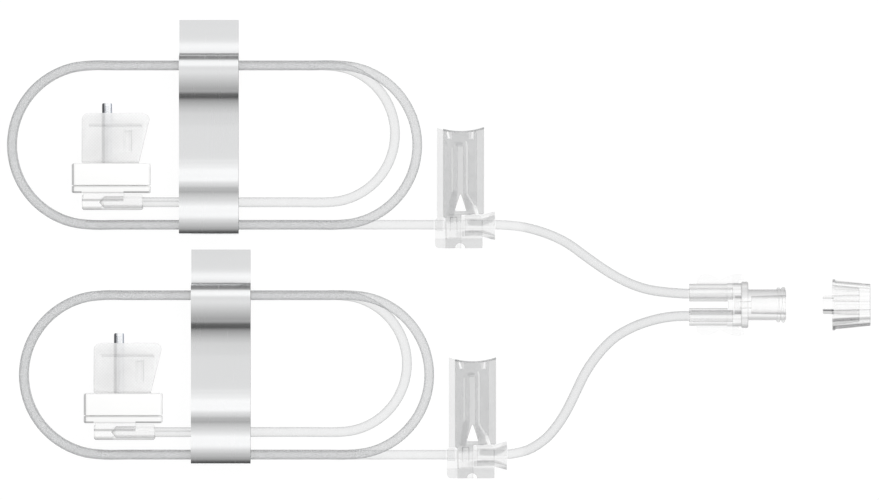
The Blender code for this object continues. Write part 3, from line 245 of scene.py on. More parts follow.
@dataclass(frozen=True, kw_only=True)
class Mark:
    """A place in Object space where a plastic is denser or thinner than around it, or where shade
    is painted.

    The density there is multiplied by gain, and add is put on top.
    """

    gain: float = 1.0
    add: float = 0.0
    soft: float = 0.3 * MM

    def share(self, recipe: Recipe) -> Socket:
        """1 inside the mark and 0 outside it."""
        raise NotImplementedError


@dataclass(frozen=True, kw_only=True)
class Patch(Mark):
    """A box. None leaves a side open."""

    low: Corner
    high: Corner

    def share(self, recipe: Recipe) -> Socket:
        """1 inside the box, fading to 0 over its soft edge."""
        share: object = 1.0
        for name, low, high in zip("XYZ", self.low, self.high):
            for limit, sense in ((low, 1), (high, -1)):
                if limit is None:
                    continue
                reach = sense * self.soft / 2
                step = recipe.step(recipe.part(recipe.place, name), limit - reach, limit + reach)
                share = recipe.sum_up("MULTIPLY", share, step)
        return share


@dataclass(frozen=True, kw_only=True)
class Stroke(Mark):
    """A line through points, as seen from above."""

    points: tuple[Flat, ...]
    width: float

    def share(self, recipe: Recipe) -> Socket:
        """1 along the line, fading to 0 over its soft edge."""
        flat = recipe.vector("MULTIPLY", recipe.place, (1.0, 1.0, 0.0))
        nearest = None
        for start, stop in zip(self.points, self.points[1:]):
            foot, way = Vector((*start, 0.0)), Vector((*stop, 0.0)) - Vector((*start, 0.0))
            away = recipe.vector("SUBTRACT", flat, tuple(foot))
            along = recipe.vector("DOT_PRODUCT", away, tuple(way.normalized()))
            along = recipe.sum_up("MINIMUM", recipe.sum_up("MAXIMUM", along, 0.0), way.length)
            beside = recipe.vector("MULTIPLY", tuple(way.normalized()), along)
            distance = recipe.vector("LENGTH", recipe.vector("SUBTRACT", away, beside))
            nearest = recipe.sum_up("MINIMUM", nearest, distance) if nearest else distance
        half = self.width / 2
        return recipe.step(nearest, half + self.soft / 2, max(half - self.soft / 2, 0.0))


@dataclass(frozen=True, kw_only=True)
class Streaks(Mark):
    """Bands along X, where a round moulding bends the light, by (Y from its axis, share).

    The bands draw in by taper for each metre past its start.
    """

    axis_y: float
    stops: tuple[Flat, ...]
    start_x: float = 0.0
    taper: float = 0.0

    def share(self, recipe: Recipe) -> Socket:
        """The share of the band that a point lies in."""
        along = recipe.sum_up("SUBTRACT", recipe.part(recipe.place, "X"), self.start_x)
        spread = recipe.sum_up("MULTIPLY_ADD", along, self.taper, 1.0)
        across = recipe.sum_up("SUBTRACT", recipe.part(recipe.place, "Y"), self.axis_y)
        return recipe.greys(recipe.sum_up("MULTIPLY", across, spread), self.stops)


@dataclass(frozen=True)
class Sketch:
    """Marks that are given in millimetres from an origin."""

    origin: Vector

    def patch(self, low: Corner, high: Corner, soft: float = 0.3, **kind: float) -> Patch:
        """A box between two corners."""
        ends = [
            tuple(None if v is None else v * MM + o for v, o in zip(corner, self.origin))
            for corner in (low, high)
        ]
        return Patch(low=ends[0], high=ends[1], soft=soft * MM, **kind)

    def stroke(
        self, points: Sequence[Flat], width: float, soft: float = 0.3, **kind: float
    ) -> Stroke:
        """A line through points."""
        places = tuple((x * MM + self.origin.x, y * MM + self.origin.y) for x, y in points)
        return Stroke(points=places, width=width * MM, soft=soft * MM, **kind)

    def streaks(self, stops: Sequence[Flat], add: float, taper: float = 0.0) -> Streaks:
        """Bands along X from the origin's own axis."""
        return Streaks(
            axis_y=self.origin.y, start_x=self.origin.x, taper=taper / MM, add=add,
            stops=tuple((at * MM, grey) for at, grey in stops),
        )


@dataclass(frozen=True)
class ClearFinish:
    """Clear plastic: palest seen face on, denser where its surface turns away."""

    name: str
    face: Colour = (0.62, 0.63, 0.64)
    edge: Colour = (0.30, 0.31, 0.32)
    face_alpha: float = 0.12
    edge_alpha: float = 0.75
    falloff: float = 2.5
    roughness: float = 0.14
    ior: float = 1.49
    cloud_scale: float = 420.0
    cloud_share: float = 0.12
    grain_depth: float = 0.004 * MM
    marks: tuple[Mark, ...] = ()

    def make(self) -> Material:
        """Builds the material."""
        recipe = Recipe(self.name)
        turned = recipe.add("ShaderNodeLayerWeight", "Facing", Blend=0.5)
        edge = recipe.sum_up("POWER", turned, self.falloff)
        cloud = recipe.noise(self.cloud_scale)
        density = recipe.span(cloud, 1 - self.cloud_share, 1 + self.cloud_share)
        alpha = recipe.span(edge, self.face_alpha, self.edge_alpha)
        shade: object = edge
        for mark in self.marks:
            share = mark.share(recipe)
            if mark.gain != 1.0:
                density = recipe.sum_up("MULTIPLY", density, recipe.span(share, 1.0, mark.gain))
            if mark.add:
                alpha = recipe.sum_up("MULTIPLY_ADD", share, mark.add, alpha)
                shade = recipe.sum_up("MAXIMUM", shade, share)
        recipe.bump(recipe.noise(self.cloud_scale * 4, 2.0), self.grain_depth)
        return recipe.set(
            Base_Color=recipe.blend(shade, self.face, self.edge),
            Alpha=recipe.sum_up("MINIMUM", recipe.sum_up("MULTIPLY", alpha, density), 1.0),
            Roughness=recipe.span(cloud, self.roughness * 0.7, self.roughness * 1.3),
            IOR=self.ior,
        )


@dataclass(frozen=True)
class WhiteMoulding:
    """Opaque white plastic with a fine sparked skin, with painted shade along its marked edges."""

    name: str
    colour: Colour = (0.93, 0.93, 0.925)
    shade: Colour = (0.91, 0.91, 0.905)
    # The grey of the painted shade along the marked edges.
    edge_shade: Colour = (0.30, 0.30, 0.305)
    cloud_scale: float = 260.0
    spark_scale: float = 6500.0
    spark_depth: float = 0.006 * MM
    roughness: Flat = (0.36, 0.5)
    marks: tuple[Mark, ...] = ()

    def make(self) -> Material:
        """Builds the material."""
        recipe = Recipe(self.name)
        colour = recipe.blend(recipe.noise(self.cloud_scale), self.colour, self.shade)
        spark = recipe.noise(self.spark_scale)
        recipe.bump(spark, self.spark_depth)
        return recipe.set(
            Base_Color=recipe.marked(colour, self.marks, self.edge_shade),
            Roughness=recipe.span(spark, *self.roughness), IOR=1.5,
        )


@dataclass(frozen=True, kw_only=True)
class DrawnMetal:
    """Metal with the fine marks of its drawing or grinding."""

    name: str
    colour: Colour
    mark: Colour
    scale: float
    stretch: Point
    depth: float
    roughness: Flat
    ior: float

    def make(self) -> Material:
        """Builds the material."""
        recipe = Recipe(self.name)
        marks = recipe.noise(self.scale, 4.0, self.stretch)
        recipe.bump(marks, self.depth)
        return recipe.set(
            Base_Color=recipe.blend(marks, self.colour, self.mark),
            Roughness=recipe.span(marks, *self.roughness), Metallic=1.0, IOR=self.ior,
        )


@dataclass(frozen=True)
class FrostedWing:
    """Soft frosted plastic with fine crossed lines pressed into it, and painted shade along its
    moulded lines.

    It is clearer along the channel that lies over the sheath.
    """

    name: str
    colour: Colour = (0.925, 0.925, 0.925)
    line: Colour = (0.79, 0.79, 0.795)
    # The grey of the painted shade along the moulded lines.
    rib_shade: Colour = (0.52, 0.52, 0.525)
    alpha: float = 0.7
    line_pitch: float = 0.5 * MM
    line_depth: float = 0.01 * MM
    line_sharpness: float = 3.0
    mottle_scale: float = 1400.0
    roughness: float = 0.6
    marks: tuple[Mark, ...] = ()
    channel: Patch | None = None

    def make(self) -> Material:
        """Builds the material."""
        recipe = Recipe(self.name)
        ways = []
        for turn in (math.pi / 4, -math.pi / 4):
            place = recipe.add("ShaderNodeMapping", Vector=recipe.place, Rotation=(0, 0, turn))
            ways.append(recipe.add("ShaderNodeTexWave", "Fac", Vector=place, Distortion=0.0,
                                   Scale=math.pi / 10 / self.line_pitch))
        line = recipe.sum_up("POWER", recipe.sum_up("MAXIMUM", *ways), self.line_sharpness)
        patchy = recipe.span(recipe.noise(self.mottle_scale, 2.0), 0.1, 0.9)
        recipe.bump(line, self.line_depth)
        colour = recipe.blend(recipe.sum_up("MULTIPLY", line, patchy), self.colour, self.line)
        alpha: object = self.alpha
        if self.channel:
            share = self.channel.share(recipe)
            alpha = recipe.span(share, self.alpha, self.alpha * self.channel.gain)
        return recipe.set(Base_Color=recipe.marked(colour, self.marks, self.rib_shade), Alpha=alpha,
                          Roughness=self.roughness, IOR=1.48)


@dataclass(frozen=True)
class SheathFinish:
    """Clear blue-tinted tube plastic, with painted shade down its left side and along its right
    edge, pale between.
    """

    name: str
    axis_x: float
    radius: float = 1.1 * MM
    # Stops across X from left to right: painted shade on the left side and near the right edge.
    stops: tuple[tuple[float, Colour, float], ...] = (
        (-1.0, (0.025, 0.03, 0.035), 0.97),
        (-0.66, (0.05, 0.055, 0.065), 0.95),
        (-0.46, (0.36, 0.37, 0.39), 0.5),
        (-0.15, (0.80, 0.85, 0.93), 0.12),
        (0.55, (0.86, 0.92, 1.0), 0.07),
        (0.72, (0.50, 0.60, 0.75), 0.3),
        (0.88, (0.05, 0.08, 0.14), 0.75),
        (1.0, (0.5, 0.56, 0.66), 0.3),
    )

    def make(self) -> Material:
        """Builds the material."""
        recipe = Recipe(self.name)
        across = recipe.add(
            "ShaderNodeMapRange", Value=recipe.part(recipe.place, "X"),
            From_Min=self.axis_x - self.radius, From_Max=self.axis_x + self.radius,
        )
        ramp = recipe.ramp(across, [((at + 1) / 2, (*colour, alpha))
                                    for at, colour, alpha in self.stops])
        cloud = recipe.noise(900.0)
        recipe.bump(cloud, 0.004 * MM)
        return recipe.set(
            Base_Color=ramp.outputs["Color"],
            Alpha=recipe.sum_up("MULTIPLY", ramp.outputs["Alpha"], recipe.span(cloud, 0.92, 1.04)),
            Roughness=recipe.span(cloud, 0.12, 0.2),
            IOR=1.49,
        )


@dataclass
class Palette:
    """The finishes that several pieces share, made once."""

    band: Material = field(init=False)
    steel: Material = field(init=False)

    def __post_init__(self) -> None:
        """Makes the band's satin silver, drawn along its length, and the needle's steel."""
        self.band = DrawnMetal(
            name="satin_band", colour=(0.86, 0.865, 0.87), mark=(0.845, 0.85, 0.855),
            scale=2600.0, stretch=(1.0, 0.03, 0.03), depth=0.0003 * MM,
            roughness=(0.221, 0.299), ior=1.5,
        ).make()
        self.steel = DrawnMetal(
            name="needle_steel", colour=(0.50, 0.51, 0.53), mark=(0.40, 0.41, 0.43),
            scale=5200.0, stretch=(0.2, 1.0, 0.2), depth=0.001 * MM, roughness=(0.2, 0.34),
            ior=2.5,
        ).make()


def linked(name: str, data: bpy.types.ID) -> Piece:
    """A new object in the scene, with its data."""
    piece = bpy.data.objects.new(name, data)
    bpy.context.scene.collection.objects.link(piece)
    return piece


def finished(
    name: str, bm: Shape, material: Material, sharp_angle: float = 38.0, mend: bool = True
) -> Piece:
    """Ends a bmesh as an object of its own, smooth where it is round.

    Args:
        name: The piece's name.
        bm: The shape, in the row frame. It is freed.
        material: The finish.
        sharp_angle: Edges that turn more than this many degrees stay crisp.
        mend: Whether the faces are turned outwards first.

    Returns:
        The new object.
    """
    bmesh.ops.remove_doubles(bm, verts=bm.verts, dist=MERGE)
    if mend:
        bmesh.ops.recalc_face_normals(bm, faces=bm.faces)
    mesh = bpy.data.meshes.new(name)
    bm.to_mesh(mesh)
    bm.free()
    mesh.shade_smooth()
    mesh.set_sharp_from_angle(angle=math.radians(sharp_angle))
    mesh.materials.append(material)
    return linked(name, mesh)


def settle(piece: Piece, body: str, slot: Slot, *nodes: str) -> Piece:
    """Lets a finished piece ride on its body and stand for its nodes.

    Args:
        piece: The object, in place.
        body: The body that it moves with.
        slot: The record's material slot of its finish. Not used.
        *nodes: The CAD nodes that it stands for.

    Returns:
        The same piece.
    """
    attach(piece, body)
    if nodes:
        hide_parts(*nodes)
    LOG.info("%s rides on %s", piece.name, body)
    return piece


def bevel(bm: Shape, edges: list[bmesh.types.BMEdge], width: float, segments: int) -> None:
    """Rounds the given edges."""
    bmesh.ops.bevel(
        bm, geom=edges, offset=width, offset_type="OFFSET", segments=segments, profile=0.5,
        affect="EDGES", clamp_overlap=True, material=-1,
    )


def soften(bm: Shape, width: float, segments: int = 2, angle: float = 32.0) -> None:
    """Bevels every edge that turns more than an angle, in degrees."""
    limit = math.radians(angle)
    sharp = [e for e in bm.edges if len(e.link_faces) == 2 and e.calc_face_angle() > limit]
    bevel(bm, sharp, width, segments)


def block_between(low: Sequence[float], high: Sequence[float]) -> Shape:
    """A box between two corners."""
    low, high = Vector(low), Vector(high)
    bm = bmesh.new()
    bmesh.ops.create_cube(bm, size=1.0)
    bmesh.ops.scale(bm, vec=high - low, verts=bm.verts)
    bmesh.ops.translate(bm, vec=(low + high) / 2, verts=bm.verts)
    return bm


def turned(
    profile: Sequence[Flat], closed: bool, axis: Axis, place: Sequence[float],
    segments: int = 64,
) -> Shape:
    """Turns a profile of (radius, distance along the axis) right round.

    Args:
        profile: The half section's points.
        closed: Whether the last point joins the first.
        axis: The way that the axis points.
        place: Where distance 0 of the axis lies.
        segments: Steps in the full turn.

    Returns:
        The turned shape.
    """
    bm = bmesh.new()
    points = [bm.verts.new((radius, 0, along)) for radius, along in profile]
    pairs = list(zip(points, points[1:]))
    if closed:
        pairs.append((points[-1], points[0]))
    edges = [bm.edges.new(pair) for pair in pairs]
    bmesh.ops.spin(
        bm, geom=points + edges, cent=(0, 0, 0), axis=(0, 0, 1), angle=2 * math.pi,
        steps=segments, use_merge=True,
    )
    bmesh.ops.remove_doubles(bm, verts=bm.verts, dist=MERGE)
    bmesh.ops.transform(bm, matrix=Matrix.Translation(place) @ axis.value, verts=bm.verts)
    bmesh.ops.recalc_face_normals(bm, faces=bm.faces)
    return bm


def from_node(node: str) -> Shape:
    """A merged copy of a CAD node, its flat faces whole again."""
    bm = bmesh.new()
    bm.from_mesh(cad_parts[node].data)
    bmesh.ops.remove_doubles(bm, verts=bm.verts, dist=MERGE)
    bmesh.ops.dissolve_limit(
        bm, angle_limit=math.radians(0.6), verts=bm.verts, edges=bm.edges,
        use_dissolve_boundaries=False,
    )
    return bm


def shape_of(holder: Piece) -> Shape:
    """The evaluated shape of a scratch object, its doubles merged."""
    bpy.context.view_layer.update()
    evaluated = holder.evaluated_get(bpy.context.evaluated_depsgraph_get())
    bm = bmesh.new()
    bm.from_mesh(evaluated.to_mesh())
    evaluated.to_mesh_clear()
    bmesh.ops.remove_doubles(bm, verts=bm.verts, dist=MERGE)
    return bm


def combined(first: Shape, second: Shape, operation: str) -> Shape:
    """Joins a second shape on to a first, or cuts it out. Both are freed."""
    holders = []
    for bm in (first, second):
        mesh = bpy.data.meshes.new("shape")
        bm.to_mesh(mesh)
        bm.free()
        holders.append(linked("shape", mesh))
    change = holders[0].modifiers.new("change", "BOOLEAN")
    change.operation = operation
    change.solver = "EXACT"
    change.object = holders[1]
    result = shape_of(holders[0])
    for holder in holders:
        bpy.data.meshes.remove(holder.data)
    return result


def swept(points: Sequence[Vector], radius: float, resolution: int) -> Shape:
    """A round rod along a line of points, closed at both ends."""
    curve = bpy.data.curves.new("rod", "CURVE")
    curve.dimensions = "3D"
    curve.bevel_depth = radius
    curve.bevel_resolution = resolution
    curve.use_fill_caps = True
    spline = curve.splines.new("POLY")
    spline.points.add(len(points) - 1)
    for point, place in zip(spline.points, points):
        point.co = (*place, 1)
    bm = shape_of(linked("rod", curve))
    bpy.data.curves.remove(curve)
    bmesh.ops.recalc_face_normals(bm, faces=bm.faces)
    return bm


def ease(share: float) -> float:
    """A smooth step from 0 to 1."""
    share = min(max(share, 0.0), 1.0)
    return share * share * (3 - 2 * share)


def through(points: Sequence[Vector], step: float) -> list[Vector]:
    """Points about a step apart on one smooth curve through the given points."""
    ends = [points[0] * 2 - points[1], *points, points[-1] * 2 - points[-2]]
    dense = []
    for before, start, stop, after in zip(ends, ends[1:], ends[2:], ends[3:]):
        for index in range(16):
            share = index / 16
            dense.append(
                start
                + (stop - before) * (share / 2)
                + (before * 2 - start * 5 + stop * 4 - after) * (share**2 / 2)
                + (start * 3 - before - stop * 3 + after) * (share**3 / 2)
            )
    dense.append(points[-1])
    lengths = [0.0]
    for start, stop in zip(dense, dense[1:]):
        lengths.append(lengths[-1] + (stop - start).length)
    count = max(2, round(lengths[-1] / step))
    found, index = [], 0
    for number in range(count + 1):
        reach = lengths[-1] * number / count
        while index < len(dense) - 2 and lengths[index + 1] < reach:
            index += 1
        gap = lengths[index + 1] - lengths[index]
        found.append(dense[index].lerp(dense[index + 1], (reach - lengths[index]) / gap))
    return found


@dataclass
class Leg:
    """One leg of the set: its letter and the middle of its coil, on the surface below it."""

    side: str
    middle: Vector = field(init=False)

    def __post_init__(self) -> None:
        """Reads the coil's middle from the frame."""
        low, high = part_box("tubing_coil_" + self.side)
        self.middle = (low + high) / 2
        self.middle.z = 0.0

    def at(self, across: float, along: float, up: float) -> Vector:
        """A point that is given from the coil's middle, in the row frame."""
        return self.middle + Vector((across, along, up))


@dataclass
class Tubing:
    """One leg's tubing: one piece from the needle's hub to the branch fitting."""

    leg: Leg
    first: Leg
    diameter: float = 2.1 * MM
    coil_straight: float = 53.5 * MM
    coil_radius: float = 17.33 * MM
    coil_turns: int = 3
    turn_rise: float = 2.12 * MM
    first_height: float = 1.55 * MM
    hub_along: float = -12.43 * MM
    hub_seat: float = -24.77 * MM
    hub_overlap: float = 1.5 * MM
    hub_face: float = -15.52 * MM
    needle_height: float = 4.5 * MM
    inner_bend: float = 24.35 * MM
    rise_start: float = 14.0 * MM
    clamp_across: float = 53.48 * MM
    clamp_height: float = 4.0 * MM
    clamp_spots: Point = (-1.5 * MM, 2.0 * MM, 6.0 * MM)
    outer_start: float = 35.95 * MM
    wall_reach: float = 6.61 * MM
    branch_across: float = 103.2 * MM
    branch_along: float = -34.74 * MM
    branch_height: float = 5.55 * MM
    port_pitch: float = 4.86 * MM
    port_spots: tuple[float, ...] = (-0.6 * MM, 3.0 * MM, 6.0 * MM, 9.2 * MM)
    point_step: float = 1.3 * MM
    nip: Flat = (-4.2 * MM, 3.2 * MM)
    nip_keep: float = 0.34
    free_runs: dict[str, list[Point]] = field(default_factory=lambda: {
        "a": [
            (62.0, -17.33, 3.9), (66.4, -17.7, 3.2), (69.9, -18.5, 2.5), (73.4, -19.7, 1.9),
            (76.8, -21.4, 1.5), (80.3, -23.9, 1.3), (83.8, -26.4, 1.3), (87.3, -28.6, 1.6),
            (90.8, -30.3, 2.3), (94.2, -31.4, 3.5), (97.7, -31.95, 4.7), (100.6, -32.2, 5.4),
        ],
        "b": [
            (64.3, -67.2, 3.9), (68.2, -66.3, 3.3), (71.6, -64.2, 2.6), (73.5, -62.3, 2.3),
            (75.3, -59.9, 1.9), (77.0, -57.0, 1.6), (78.6, -53.7, 1.4), (80.3, -50.2, 1.3),
            (82.1, -47.3, 1.3), (84.4, -44.4, 1.5), (87.3, -41.7, 2.0), (90.8, -39.7, 2.9),
            (94.2, -38.4, 3.9), (97.7, -37.55, 4.9), (100.6, -37.22, 5.45),
        ],
    })

    def inner_run(self) -> list[Vector]:
        """From the hub's seat along the bottom and up round the inner bend."""
        rise = self.rise_start - self.hub_face - self.hub_overlap
        drop = self.needle_height - self.first_height
        points = []
        for share in (0.0, 0.1, 0.2, 0.3, 0.4, 0.5, 0.6, 0.75, 0.88, 1.0):
            across = self.hub_seat + (self.inner_bend - self.hub_seat) * share
            lift = drop * ease((self.rise_start - across) / rise)
            points.append(self.leg.at(across, self.hub_along, self.first_height + lift))
        radius = (self.coil_radius - self.hub_along) / 2
        return points + [
            self.leg.at(self.inner_bend + radius * math.sin(math.pi * (1 - share)),
                        self.coil_radius - radius + radius * math.cos(math.pi * (1 - share)),
                        self.first_height)
            for share in TWELFTHS[1:]
        ]

    def coil(self) -> list[Vector]:
        """The turns, each one up from the last on the coil's right-hand end."""
        half, radius = self.coil_straight / 2, self.coil_radius
        points = []
        for turn in range(self.coil_turns):
            height = self.first_height + turn * self.turn_rise
            for share in TWELFTHS if turn else ():
                angle = math.pi * (share - 0.5)
                points.append(self.leg.at(half + radius * math.cos(angle),
                                          radius * math.sin(angle),
                                          height - self.turn_rise * (1 - ease(share))))
            for share in reversed(FIFTHS):
                points.append(self.leg.at(half * share, radius, height))
            for share in TWELFTHS:
                angle = math.pi * (share + 0.5)
                points.append(self.leg.at(radius * math.cos(angle) - half,
                                          radius * math.sin(angle), height))
            for share in FIFTHS:
                points.append(self.leg.at(half * share, -radius, height))
        return points

    def outer_run(self) -> list[Vector]:
        """From the last turn through the clamp, and over the surface to the fitting's port."""
        top = self.first_height + (self.coil_turns - 1) * self.turn_rise
        wall = self.clamp_across - self.wall_reach
        points = [self.leg.at(self.coil_straight / 2, -self.coil_radius, top)]
        for share in (0.0, 0.35, 0.7, 1.0):
            across = self.outer_start + (wall - self.outer_start) * share
            height = top - (top - self.clamp_height) * ease(share)
            points.append(self.leg.at(across, -self.coil_radius, height))
        for past in self.clamp_spots:
            across = self.clamp_across + past
            points.append(self.leg.at(across, -self.coil_radius, self.clamp_height))
        points += [self.first.middle + Vector(p) * MM for p in self.free_runs[self.leg.side]]
        port = self.port_pitch / 2 * (1 if self.leg.side == "a" else -1)
        for depth in self.port_spots:
            across = self.branch_across + depth
            points.append(self.first.at(across, self.branch_along + port, self.branch_height))
        return points

    def finish(self) -> Material:
        """Clear tube plastic, whose outline fades where it is bonded into a moulding, with painted
        shade along the +Y side of the coil's straights.
        """
        at_hub = Sketch(self.leg.at(self.hub_seat, self.hub_along, self.needle_height))
        at_port = Sketch(self.first.at(self.branch_across, self.branch_along, 0))
        at_clamp = Sketch(self.leg.at(self.clamp_across, -self.coil_radius, 0))
        at_coil = Sketch(self.leg.at(0, 0, 0))
        return ClearFinish(
            "clear_tubing_" + self.leg.side, face=(0.40, 0.41, 0.42),
            edge=(0.34, 0.345, 0.35), face_alpha=0.13, edge_alpha=0.62, falloff=2.0,
            roughness=0.22, ior=1.5,
            marks=(
                at_hub.patch((-2, -3, -3), (9.0, 3, None), gain=0.22),
                at_hub.stroke([(9.4, 0.2), (17.0, 0.2)], 0.35, add=0.13),
                at_port.patch((0.1, -8, None), (12, 8, None), gain=0.15),
                at_port.patch((-36, None, None), (0, None, None), gain=1.35, soft=2),
                at_clamp.patch((-4, -1.6, None), (7.6, 1.6, None), gain=0.3),
                at_clamp.patch((-5.8, -1.6, None), (-4, 1.6, None), gain=0.6),
                # Painted shade along the +Y side of each coil straight.
                at_coil.stroke([(-28, 17.95), (30, 17.95)], 0.55, add=0.028),
                at_coil.stroke([(-28, -16.65), (28, -16.65)], 0.5, add=0.028),
            ),
        ).make()

    def pinched(self, whole: Shape) -> Shape:
        """Takes the short length under the clamp's front arm out of the tube."""
        across = self.leg.middle.x + self.clamp_across
        along = self.leg.middle.y - self.coil_radius
        short = whole.copy()
        for bm, keeps_it in ((whole, False), (short, True)):
            others = []
            for face in bm.faces:
                spot = face.calc_center_median()
                inside = (self.nip[0] < spot.x - across < self.nip[1]
                          and abs(spot.y - along) < self.diameter)
                if inside != keeps_it:
                    others.append(face)
            bmesh.ops.delete(bm, geom=others, context="FACES")
        return short

    def build(self) -> None:
        """Lays the tube along its route, with the short length under the clamp's front arm as a
        piece of its own.
        """
        side = self.leg.side
        plastic = self.finish()
        route = through(self.inner_run() + self.coil() + self.outer_run(), self.point_step)
        whole = swept(route, self.diameter / 2, 4)
        short = self.pinched(whole)
        tube = finished("tube_run_" + side, whole, plastic, mend=False)
        settle(
            tube, "root", Slot.TUBING, "tubing_coil_" + side, "tubing_needle_end_" + side,
            "tubing_connector_end_" + side,
        )
        nip = finished("tube_nip_" + side, short, plastic, mend=False)
        settle(nip, "root", Slot.TUBING)
        bed = self.leg.at(self.clamp_across, -self.coil_radius,
                          self.clamp_height - self.diameter / 2)
        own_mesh(nip)
        tuple(self.leg.at(self.hub_face, self.hub_along, self.needle_height))


@dataclass
class StorageBand:
    """The satin strip round one coil, its two ends lying together as a tail.

    Over the coil the strip goes by its tilt: pairs of the place along Y from the coil's middle,
    in millimetres, and of degrees towards +Y, from the far crest to the near one. Its foot and
    its lip are pairs of millimetres, out from the coil's side and up from the tail, or down
    from the crest.
    """

    leg: Leg
    across: float = -1.25 * MM
    width: float = 12.94 * MM
    thickness: float = 0.14 * MM
    lift: float = 0.02 * MM
    crest: float = 7.28 * MM
    side_reach: float = 19.18 * MM
    tail_end: float = 27.28 * MM
    tail_height: float = 0.4 * MM
    step: float = 0.13 * MM
    tilts: tuple[Flat, ...] = (
        (16.3, 3.0), (15.4, -1.5), (14.6, -5.3), (13.7, -8.8), (12.8, -10.7), (12.0, -13.2),
        (11.3, -13.5), (10.7, -26.5), (10.1, -17.0), (9.4, -13.0), (8.5, -9.5), (7.6, -7.0),
        (6.7, -4.0), (5.0, -2.5), (3.3, 0.0), (-2.2, 0.0), (-3.7, 4.6), (-4.6, 7.0),
        (-5.4, 12.0), (-6.3, 20.0), (-7.2, 20.0), (-8.0, 5.0), (-8.9, -6.0), (-9.8, -11.5),
        (-10.6, -9.5), (-11.5, -4.0), (-12.4, 1.0), (-13.3, 13.0), (-14.1, 22.0),
        (-15.0, 19.0), (-15.9, 4.0), (-16.7, -5.0), (-17.6, -10.3), (-18.2, -12.0),
        (-18.5, -16.0), (-18.8, -20.0), (-19.05, -30.0), (-19.22, -44.0),
    )
    foot: tuple[Flat, ...] = (
        (6.0, 0.0), (3.6, 0.03), (2.4, 0.2), (1.9, 0.36), (1.45, 0.56), (1.05, 0.77),
        (0.8, 0.92), (0.6, 1.08), (0.3, 1.37), (0.05, 1.62),
    )
    lip: tuple[Flat, ...] = (
        (0.26, 1.37), (0.3, 1.3), (0.18, 1.19), (0.0, 1.03), (-0.15, 0.9), (-0.35, 0.74),
        (-0.7, 0.48), (-1.15, 0.24), (-1.6, 0.1), (-2.1, 0.01),
    )

    def over(self) -> list[Flat]:
        """The strip from crest to crest as (Y, Z), its height summed from its tilts."""
        height = self.crest / MM
        found = [(self.tilts[0][0], height)]
        for (here, tilt), (there, next_tilt) in zip(self.tilts, self.tilts[1:]):
            height += (here - there) * math.tan(math.radians((tilt + next_tilt) / 2))
            found.append((there, height))
        return found

    def line(self) -> list[Vector]:
        """The strip's outer line as (0, Y, Z), from the tail's upper end round to its lower."""
        side, crest, under, upper, tail = (size / MM for size in (
            self.side_reach, self.crest, self.lift, self.tail_height, self.tail_end
        ))
        over = self.over()
        near = over[-1][1]
        points = [
            (tail, upper),
            *((side + out, upper + up) for out, up in self.foot),
            (side - 0.08, crest * 0.38), (side - 0.08, crest * 0.7), (side + 0.08, crest * 0.79),
            *((side + out, crest - down) for out, down in self.lip),
            *over,
            (-side - 0.15, near - 0.25), (-side - 0.2, near - 0.7), (-side - 0.2, near * 0.5),
            (0.05 - side, near * 0.2), (0.6 - side, under + 0.2), (1.6 - side, under),
            *((along, under) for along in (-side / 2, 0.0, side / 2, side, tail)),
        ]
        return [Vector((0, along * MM, up * MM)) for along, up in points]

    def build(self, palette: Palette) -> None:
        """Sweeps the line across the strip's width and gives it its thickness."""
        side = self.leg.side
        left = self.across - self.width / 2
        bm = bmesh.new()
        start = []
        for spot in through(self.line(), self.step):
            spot.z = max(spot.z, self.lift)
            start.append(bm.verts.new(self.leg.middle + spot + Vector((left, 0, 0))))
        edges = [bm.edges.new(pair) for pair in zip(start, start[1:])]
        drawn = bmesh.ops.extrude_edge_only(bm, edges=edges)["geom"]
        moved = [item for item in drawn if isinstance(item, bmesh.types.BMVert)]
        bmesh.ops.translate(bm, vec=(self.width, 0, 0), verts=moved)
        bmesh.ops.recalc_face_normals(bm, faces=bm.faces)
        bmesh.ops.solidify(bm, geom=list(bm.faces), thickness=self.thickness)
        settle(finished("band_strip_" + side, bm, palette.band, 50.0), "root", Slot.BAND,
               "storage_band_" + side)


